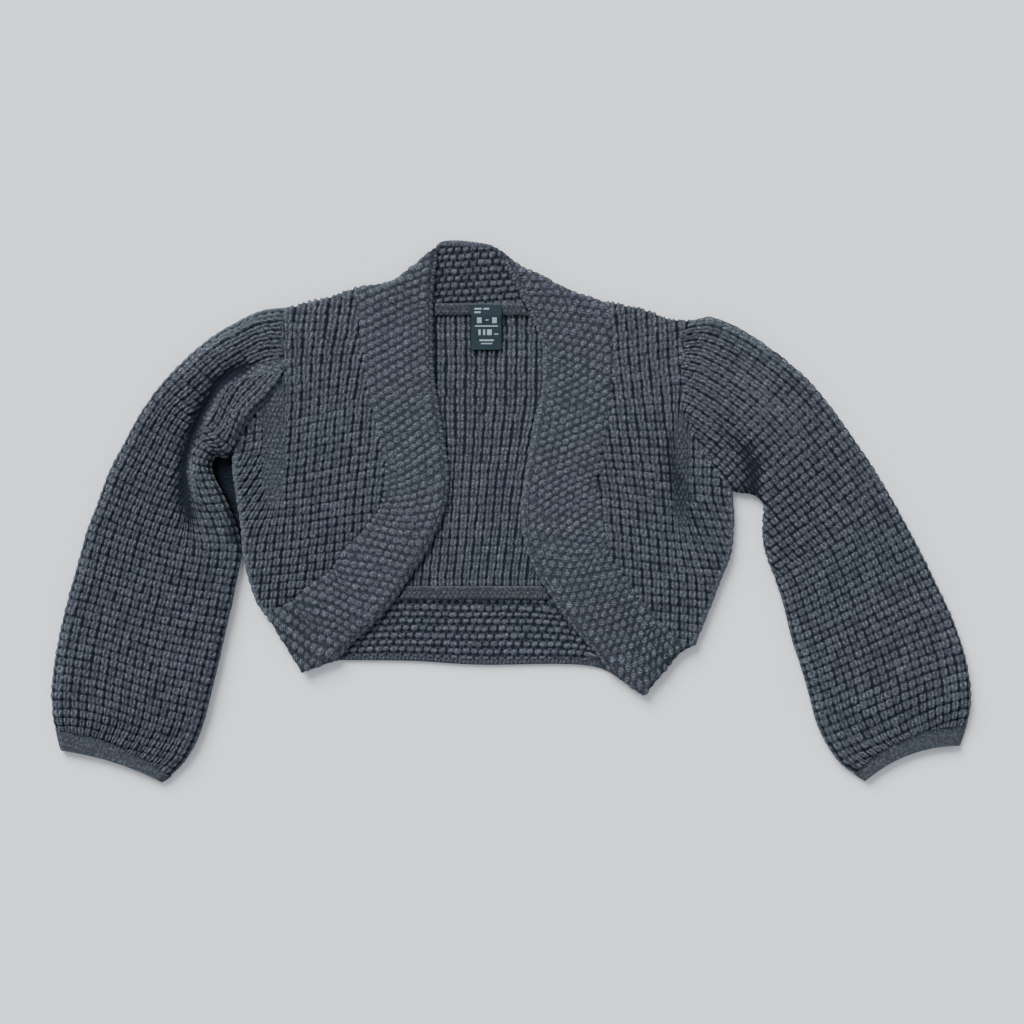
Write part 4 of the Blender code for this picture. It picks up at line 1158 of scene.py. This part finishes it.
def zipper(first, first_at, second, second_at):
    """Triangles between two open chains of point numbers, each with its place along the way."""
    faces, i, j = [], 0, 0
    while i < len(first) - 1 or j < len(second) - 1:
        step_first = abs(first_at[i + 1] - second_at[j]) if i < len(first) - 1 else math.inf
        step_second = abs(second_at[j + 1] - first_at[i]) if j < len(second) - 1 else math.inf
        if step_first < step_second:
            faces.append((first[i], first[i + 1], second[j]))
            i += 1
        else:
            faces.append((first[i], second[j + 1], second[j]))
            j += 1
    return faces


UNDER_POINTS = 14  # across the plain underside of a tube
FOLD_WIDTH = 0.18  # of a section, for the fold that hides columns
SLIT_POINTS = 12  # across each wall of the slit within it
SLIT_RINGS = 18  # along the slit
SLIT_INSET = 1.2  # the slit stays this much further in than the wall is thick
SLIT_FLOOR = 0.6  # height of the slit's lower wall, as a share of the wall


def tube_floor(loft, width):
    """The lower half of a laid tube's section, from its inner to its outer end."""
    middle = 0.45 * loft
    turn = np.radians((25, 50, 90))
    below = np.column_stack([0.9 * middle * (1 - np.cos(turn)), middle * (1 - np.sin(turn))])
    flat_x = np.linspace(0.9 * middle, width - 0.9 * middle, UNDER_POINTS - 4)[1:-1]
    flat = np.column_stack([flat_x, 0 * flat_x])
    return np.vstack([below, flat, (below * (-1, 1) + (width, 0))[::-1]])[::-1]


def tube_slit(hollows, mid_plan, wall, first):
    """The slit's points, ring by ring, and their numbers from first on."""
    points, rings, last = [], [], len(hollows) - 1
    low = wall * SLIT_FLOOR
    for index in np.unique(np.round(np.linspace(0, last, SLIT_RINGS)).astype(int)):
        outer, inner, bow, width, profile = hollows[index]
        over = np.linspace(wall + SLIT_INSET, width - wall - SLIT_INSET, SLIT_POINTS)
        ceiling = np.interp(over, profile[:, 0], profile[:, 1]) - wall
        ceiling = np.clip(ceiling, low + 0.4, low + 2.4)
        ceiling[[0, -1]] = low + 0.3
        across = np.concatenate([over, over[::-1][1:-1]])
        height = np.concatenate([ceiling, np.full(SLIT_POINTS - 2, low)])
        plan = bowed(outer, inner, bow, (across / width)[:, None])
        if index in (0, last):
            plan = plan + (mid_plan[index] - (outer + inner) / 2 - bow)
        points.append(np.column_stack([plan, height]))
        rings.append(list(range(first, first + len(across))))
        first += len(across)
    return points, rings


def build_tube(
    name, kind, rows, columns, per_column, count, wall, rise, salt,
    creases=(), row_size=ROW, gather=0.0, knit=(),
):
    """A laid sleeve or cuff: ribs over its upper half, a plain underside and a slit within."""
    spread = np.linspace(0, len(rows) - 1, 200)
    dense = spline_rows(rows, spread)
    travel = lengths(0.5 * (dense[:, 0:2] + dense[:, 2:4]))
    at = np.interp(np.linspace(0, travel[-1], count), travel, spread)
    table = spline_rows(rows, at)
    marks = np.linspace(0, columns, columns * per_column + 1)
    m, u = len(marks), np.linspace(0, 1, 400)
    upper, lower = np.zeros((m, count, 3)), np.zeros((UNDER_POINTS, count, 3))
    squeeze, spot = np.ones((m, count)), np.zeros((m, count))
    sink, held_in = rise - 0.25 * LOFT / wall, rise - 0.7
    hollows = []
    for k, row in enumerate(table):
        outer, inner, bow = row[0:2], row[2:4], row[4:6]
        loft, hidden, fold_at = row[6] - sink, max(row[7], 0.0), row[8]
        width = np.linalg.norm(inner - outer)
        profile, along, blend = tube_profile(loft, width, 0.6)
        fold = smoothstep((u - fold_at + FOLD_WIDTH / 2) / FOLD_WIDTH)
        fold = (fold - fold[0]) / (fold[-1] - fold[0])
        places = np.interp(marks, (columns - hidden) * u + hidden * fold, u)
        x, z = (np.interp(places, blend, part) for part in profile.T)
        spot[:, k] = x / width
        squeeze[:, k] = np.gradient(np.interp(places, blend, along)) * per_column
        ahead = table[min(k + 1, count - 1)][0:4] - table[max(k - 1, 0)][0:4]
        back = np.array([(inner - outer)[1], -(inner - outer)[0]]) / width
        back = -back if back @ (ahead[0:2] + ahead[2:4]) > 0 else back
        gap = back * {0: SEAM_GAP / 2, count - 1: -SEAM_GAP / 2}.get(k, 0.0)
        for half, across, height in ((upper, x, z), (lower, *tube_floor(loft, width).T)):
            share = ((held_in + across * (1 - 2 * held_in / width)) / width)[:, None]
            half[:, k, :2] = bowed(outer, inner, bow, share) - gap
            half[:, k, 2] = height
        hollows.append((outer, inner, bow, width, profile))
    plan = upper[..., :2].reshape(-1, 2)
    lift = crease_height(plan, creases).reshape(m, count)
    rim = np.clip((upper[..., 2] / table[:, 6] - 0.3) / 0.5, 0, 1)
    upper[..., 2] += lift * rim
    if gather:
        near_cuff = smoothstep((np.linspace(0, 1, count) - 0.86) / 0.14)
        pleats = np.sin(2 * math.pi * marks / 2.4 + 0.7 * np.sin(marks))[:, None]
        upper[..., 2] += gather * pleats * near_cuff * rim
    ring = np.concatenate([upper, lower], axis=0)
    around = np.roll(ring, -1, axis=0) - np.roll(ring, 1, axis=0)
    normals = np.cross(around, np.gradient(ring, axis=1))
    normals /= np.maximum(np.linalg.norm(normals, axis=2, keepdims=True), 1e-9)
    if normals[m // 2, :, 2].mean() < 0:
        normals = -normals
    along = at / (len(rows) - 1)
    x, y = upper[..., 0], upper[..., 1]
    column, row_count = knit_place(
        rows, knit, columns, marks, spot, along, upper[..., :2], row_size
    )
    high = 1 - smoothstep((row_count - row_count.min() - 5) / 12) if creases else 0.0
    block = (0.49, 0.54, 0.56 + 0.09 * high, 0.70)
    relief, strand = v_stitches(column + 0.5, row_count, salt, reach=0.55 + 0.11 * high, block=block)
    calm = smoothstep((squeeze - 0.8) / 3.4)
    fine, fine_strand = moss_bumps((x + y) / 5.4, (x - y) / 5.0, salt + 7)
    relief = relief * calm + (0.34 + 0.50 * fine) * (1 - calm)
    sunken = 0.4 * smoothstep((-lift - 1.2) / 2.6)
    relief = relief * (1 - sunken) + 0.5 * sunken
    strand = np.where(calm > 0.5, strand, fine_strand)
    on_top = np.clip((upper[..., 2] / table[:, 6] - 0.45) / 0.35, 0, 1)
    # Painted shade on the turned-under side by the underarm fold, where the cloth lies in shade, and the
    # painted shade and light of the sleeve's lines.
    fold_side = distance_to(plan, [line("underarm_right")]).reshape(m, count)
    underarm_painted_shade = 0.8 * smoothstep((3.6 - fold_side) / 2.4) * (1 - on_top)
    tone = crease_height(plan, PAINTED_SHADE_AND_LIGHT.get(name, ())).reshape(m, count)
    displacement = rise * (relief * on_top + (0.45 + 0.55 * relief) * (1 - on_top))
    full = np.zeros(ring.shape[:2])
    full[:m] = displacement
    full[m], full[-1] = 0.5 * displacement[-1], 0.5 * displacement[0]
    skin = ring + normals * full[..., None]
    skin[..., 2] = np.maximum(skin[..., 2], 0.0)

    i, j = m // 2, count // 2
    a, b = ring[i + 1, j] - ring[i, j], ring[i, j + 1] - ring[i, j]
    outward = np.cross(a, b)[2] * normals[i, j, 2] > 0
    turn = 1 if outward else -1
    faces = quads(len(ring), count, wrap=True)[:, ::turn].tolist()
    slit, slit_rings = tube_slit(hollows, skin[i, :, :2], wall, len(ring) * count)
    for ids, following in zip(slit_rings, slit_rings[1:]):
        for k in range(len(ids)):
            faces.append([ids[k], following[k], following[k - 1], ids[k - 1]][::turn])
    beneath = 1 + np.linspace(0, 1, UNDER_POINTS + 2)[1:-1]
    outer_at = np.concatenate([marks / columns, beneath, [2.0]])
    over = np.linspace(0, 1, SLIT_POINTS)
    inner_at = np.concatenate([over, 1 + over[1:-1], [2.0]])
    for index, ids in ((0, slit_rings[0]), (count - 1, slit_rings[-1])):
        outer_ids = [k * count + index for k in range(len(ring))]
        rim_faces = zipper(outer_ids + outer_ids[:1], outer_at, ids + ids[:1], inner_at)
        faces += [face[::-1] if (index == 0) == outward else face for face in rim_faces]
    # Painted shade: the colour darkens the lower a point lies in its stitches, a little less where the
    # columns crowd into fine stitches, more in the crease troughs and by the underarm fold, with the
    # painted shade and light of the sleeve's lines.
    layers = {
        "stitch": np.dstack([column * COLUMN, row_count * row_size]),
        "deep": 1 - relief - 0.1 * (1 - calm) + 0.17 * np.clip(-lift - 1.0, 0, 4) + underarm_painted_shade + tone,
        "strand": strand,
    }
    points = np.vstack([skin.reshape(-1, 3), *slit])
    piece = add_cloth("knitted_" + name, points, faces, 0, layers, spun(kind))
    settle(piece, name)


TAPE_RISE, TAPE_STEP = 0.75, 0.55


def build_strip(name, corners, salt):
    """A seam allowance: a narrow plain knitted tape."""
    a, b, c, d = np.array(corners, float)
    length, height = np.linalg.norm(b - a), np.linalg.norm(d - a)
    s, t = stations(length, 0.6, False, False), stations(height, TAPE_STEP, False, False)
    plan = patch(*(np.array(ends) for ends in ((a, b), (d, c), (a, d), (b, c))), s, t)
    edge = np.minimum(np.arange(len(t)), np.arange(len(t))[::-1])[None, :] * TAPE_STEP
    top = UPPER + TAPE_LOFT - 0.5 - 0.7 * np.clip(1 - edge / 1.6, 0, 1) ** 2
    base = np.dstack([plan, np.broadcast_to(top, plan.shape[:2])])
    x, y = base[..., 0], base[..., 1]
    relief, strand = moss_bumps(x / 3.1, y / 2.5, salt, 0.5, (0.44, 0.50), 0.3, 0.7, 0.2)
    away = np.broadcast_to((1 - t) * height, relief.shape)
    relief, strand = edge_chain(relief, strand, away, x / 3.1, 2.0)
    knit_panel(
        "knitted_" + name, name, "plain", base, relief, strand, TAPE_RISE, base[..., :2], UPPER,
    )


LABEL_TOP, LABEL_TAIL, LABEL_MIDDLE, LABEL_HALF = 135.5, 106.0, -16.5, 10.0
LABEL_TUCK = 0.25  # the satin is this much thinner than its solid
DASH_RISE = 0.12
LABEL_MARKS = [  # plain woven dashes: centre x, y, width and height on the label's face
    (-5.6, -2.6, 4.6, 0.9), (0.0, -2.6, 4.0, 0.9), (-5.9, -4.9, 4.0, 0.9),
    (-4.6, -10.0, 3.0, 3.6), (0.4, -10.0, 2.0, 0.9), (5.2, -10.0, 3.0, 3.6),
    (0.0, -14.0, 15.0, 0.7),
    (-4.4, -18.0, 1.3, 3.6), (-1.6, -18.0, 1.3, 3.6), (2.0, -18.0, 3.0, 3.6), (6.6, -19.2, 2.6, 0.9),
    (0.2, -23.2, 9.6, 0.8), (0.2, -25.4, 7.2, 0.8),
]


def build_label():
    """The neck label, from its seam at the tape down over the back, with raised dashes."""
    s, t = np.linspace(-1, 1, 61), np.linspace(0, 1, 91)
    y = LABEL_TAIL + (LABEL_TOP - LABEL_TAIL) * t
    lean = smoothstep((y - 122.0) / 7.5)
    z = UPPER + SEAM_GAP + TAPE_LOFT * lean + 0.55 * np.sin(math.pi * t) ** 2
    x_grid, y_grid = np.meshgrid(LABEL_MIDDLE + LABEL_HALF * s, y, indexing="ij")
    bulge = LABEL_TUCK * (1 - (s**2)[:, None]) * (1 - t)
    z_grid = np.broadcast_to(z, x_grid.shape) + bulge + LABEL_LOFT - LABEL_TUCK
    marks = np.zeros(x_grid.shape)
    for x, down, width, height in LABEL_MARKS:
        near_x = np.abs(x_grid - LABEL_MIDDLE - x) < width / 2
        near_y = np.abs(y_grid - LABEL_TOP - down) < height / 2
        marks = np.maximum(marks, near_x & near_y)
    base = np.dstack([x_grid, y_grid, z_grid])
    top, lower = base.copy(), base.copy()
    top[..., 2] += DASH_RISE * marks
    lower[..., 2] -= LABEL_LOFT - LABEL_TUCK
    m, n = x_grid.shape
    faces = quads(m, n).tolist() + (quads(m, n)[:, ::-1] + m * n).tolist()
    ids = [i * n + j for i, j in border_loop(m, n)]
    for this, following in zip(ids, ids[1:] + ids[:1]):
        faces.append([this, m * n + this, m * n + following, following])
    layers = {"stitch": base[..., :2], "deep": np.zeros((m, n)), "strand": marks}
    points = np.vstack([top.reshape(-1, 3), lower.reshape(-1, 3)])
    piece = add_cloth("woven_label", points, faces, 0, layers, label_satin())
    settle(piece, "label")


# ---------------------------------------------------------------- what a user can change
def millimetres(name, description, default, most, least=0.0):
    return FloatProperty(
        name=name, description=description, default=default * MM, min=least * MM, max=most * MM,
        unit="LENGTH",
    )


class ShrugKnit(PropertyGroup):
    """Stitch relief and mesh fineness."""

    waffle_rise: millimetres("Waffle rise", "How far a waffle stitch stands out of its gap", 2.4, 4)
    moss_rise: millimetres("Moss rise", "How far a moss bump stands out of the cloth", 1.9, 4)
    back_rise: millimetres("Back rib rise", "How far the ribs of the back's inner face stand out", 1.7, 3)
    cuff_rise: millimetres("Cuff rise", "How far the cuffs' fine stitches stand out", 0.55, 2)
    step: millimetres("Mesh step", "Distance between two points of a knitted face", 0.62, 4, 0.4)


class ShrugStage(PropertyGroup):
    """Camera and light."""

    camera_height: FloatProperty(
        name="Camera height", description="Height of the camera over the table",
        default=1.596, min=0.5, max=5.0, unit="LENGTH",
    )
    lens: FloatProperty(
        name="Lens", description="Focal length in millimetres", default=85.0, min=20.0, max=200.0
    )
    light_colour: FloatVectorProperty(
        name="Light colour", description="Colour of the soft light", subtype="COLOR",
        size=3, default=to_linear("#FFFFFF"), min=0.0, max=1.0,
    )


def settings(context, rise):
    """The relief of this kind and the mesh step that the user has set, in millimetres."""
    knit = context.scene.shrug_knit
    return getattr(knit, rise) / MM, knit.step / MM


class SHRUG_OT_back(Operator):
    """Knit the back panel, with the ribs of its inner face"""

    bl_idname = "shrug.back"
    bl_label = "Back"

    def execute(self, context):
        build_back(*settings(context, "back_rise"))
        return {"FINISHED"}


class SHRUG_OT_fronts(Operator):
    """Knit the two waffle-rib fronts"""

    bl_idname = "shrug.fronts"
    bl_label = "Fronts"

    def execute(self, context):
        for side in ("right", "left"):
            build_front(side, *settings(context, "waffle_rise"))
        return {"FINISHED"}


class SHRUG_OT_bands(Operator):
    """Knit the moss-stitch front bands, the back hem band and the collar"""

    bl_idname = "shrug.bands"
    bl_label = "Bands, hem and collar"

    def execute(self, context):
        rise, step = settings(context, "moss_rise")
        for side in ("right", "left"):
            build_band(side, rise, step)
        build_hem_band(rise, step)
        build_collar(rise, step)
        return {"FINISHED"}


class SHRUG_OT_sleeves(Operator):
    """Knit the two sleeves, from the armhole to the cuff"""

    bl_idname = "shrug.sleeves"
    bl_label = "Sleeves"

    def execute(self, context):
        rise, _ = settings(context, "waffle_rise")
        for side, rows, salt, flat, uncut in (
            ("right", SLEEVE_RIGHT, 5, (0.205, 0.345), ()),
            ("left", SLEEVE_LEFT, 17, (0.235, 0.335), SLEEVE_LEFT_KNIT),
        ):
            name = "sleeve_" + side
            build_tube(
                name, "waffle", rows, SLEEVE_COLUMNS, SLEEVE_POINTS, SLEEVE_SECTIONS, SLEEVE_WALL,
                rise, salt, CREASES[name], gather=SLEEVE_GATHER, knit=uncut,
            )
        return {"FINISHED"}


class SHRUG_OT_cuffs(Operator):
    """Knit the two fine plain cuffs"""

    bl_idname = "shrug.cuffs"
    bl_label = "Cuffs"

    def execute(self, context):
        rise, _ = settings(context, "cuff_rise")
        for side, rows, salt in (("right", CUFF_RIGHT, 83), ("left", CUFF_LEFT, 89)):
            build_tube(
                "cuff_" + side, "plain", rows, CUFF_COLUMNS, CUFF_POINTS, CUFF_SECTIONS, CUFF_WALL,
                rise, salt, row_size=CUFF_ROW,
            )
        return {"FINISHED"}


class SHRUG_OT_seams(Operator):
    """Knit the seam allowances at the neck and the hem"""

    bl_idname = "shrug.seams"
    bl_label = "Seam allowances"

    def execute(self, context):
        build_strip("neck_seam", [(-50.3, 129.0), (11.3, 129.0), (7.6, 136.5), (-50.3, 136.5)], 91)
        build_strip("hem_seam", [(-74.3, -58.0), (25.5, -58.0), (20.0, -49.5), (-69.0, -49.5)], 97)
        return {"FINISHED"}


class SHRUG_OT_label(Operator):
    """Weave the neck label, with plain dashes and no words"""

    bl_idname = "shrug.label"
    bl_label = "Label"

    def execute(self, context):
        build_label()
        return {"FINISHED"}


WINDOW_STRENGTH = 4.6
WINDOW_ELEVATION, WINDOW_TURN, WINDOW_WIDTH = (math.radians(angle) for angle in (38.0, 28.0, 36.0))
SKY_STRENGTH = 0.62
FLOOR_SIZE = 8.0
CAMERA_PLAN = (0.00053, -0.00084)  # over the middle of the view, in metres
SENSOR = 36.0


def add_window():
    """A broad soft light from beyond the right shoulder, even all over the table."""
    data = bpy.data.lights.new("window_light", "SUN")
    data.energy, data.angle = WINDOW_STRENGTH, WINDOW_WIDTH
    data.color = bpy.context.scene.shrug_stage.light_colour
    lamp = bpy.data.objects.new("window_light", data)
    bpy.context.scene.collection.objects.link(lamp)
    lamp.location = (-math.sin(WINDOW_TURN), math.cos(WINDOW_TURN), math.tan(WINDOW_ELEVATION))
    lamp.rotation_euler = (WINDOW_ELEVATION - math.pi / 2, 0.0, WINDOW_TURN)


class SHRUG_OT_stage(Operator):
    """Set the pale floor, the soft light and the camera that looks straight down"""

    bl_idname = "shrug.stage"
    bl_label = "Stage"

    def execute(self, context):
        stage = context.scene.shrug_stage
        bpy.ops.object.select_all(action="DESELECT")
        bpy.ops.mesh.primitive_plane_add(size=FLOOR_SIZE, location=(0.0, 0.0, 0.0))
        floor = context.active_object
        floor.name = "paper_floor"
        floor.data.materials.append(backdrop_paper())
        add_window()
        world = bpy.data.worlds.new("studio")
        world.use_nodes = True
        sky = world.node_tree.nodes["Background"].inputs
        sky["Color"].default_value = (*to_linear("#F4F8FF"), 1.0)
        sky["Strength"].default_value = SKY_STRENGTH
        context.scene.world = world
        data = bpy.data.cameras.new("camera")
        data.lens, data.sensor_width = stage.lens, SENSOR
        camera = bpy.data.objects.new("camera", data)
        context.scene.collection.objects.link(camera)
        camera.location = (*CAMERA_PLAN, stage.camera_height)
        context.scene.camera = camera
        return {"FINISHED"}


class SHRUG_PT_panel(Panel):
    """Lists the pieces of the shrug"""

    bl_idname = "SHRUG_PT_panel"
    bl_label = "Knitted shrug"
    bl_space_type = "VIEW_3D"
    bl_region_type = "UI"
    bl_category = "Shrug"

    def draw(self, context):
        knit, stage = context.scene.shrug_knit, context.scene.shrug_stage
        for name in ("waffle_rise", "moss_rise", "back_rise", "cuff_rise", "step"):
            self.layout.prop(knit, name)
        for name in ("camera_height", "lens", "light_colour"):
            self.layout.prop(stage, name)
        for operator in OPERATORS:
            self.layout.operator(operator.bl_idname)


OPERATORS = (
    SHRUG_OT_back, SHRUG_OT_fronts, SHRUG_OT_bands, SHRUG_OT_sleeves,
    SHRUG_OT_cuffs, SHRUG_OT_seams, SHRUG_OT_label, SHRUG_OT_stage,
)
CLASSES = (ShrugKnit, ShrugStage, *OPERATORS, SHRUG_PT_panel)


def register():
    for item in CLASSES:
        bpy.utils.register_class(item)
    bpy.types.Scene.shrug_knit = PointerProperty(type=ShrugKnit)
    bpy.types.Scene.shrug_stage = PointerProperty(type=ShrugStage)


def unregister():
    del bpy.types.Scene.shrug_stage
    del bpy.types.Scene.shrug_knit
    for item in reversed(CLASSES):
        bpy.utils.unregister_class(item)


def main():
    register()
    bpy.ops.object.select_all(action="DESELECT")
    bpy.ops.shrug.stage()
    bpy.ops.shrug.back()
    bpy.ops.shrug.bands()
    bpy.ops.shrug.fronts()
    bpy.ops.shrug.sleeves()
    bpy.ops.shrug.cuffs()
    bpy.ops.shrug.seams()
    bpy.ops.shrug.label()


if __name__ == "__main__":
    main()
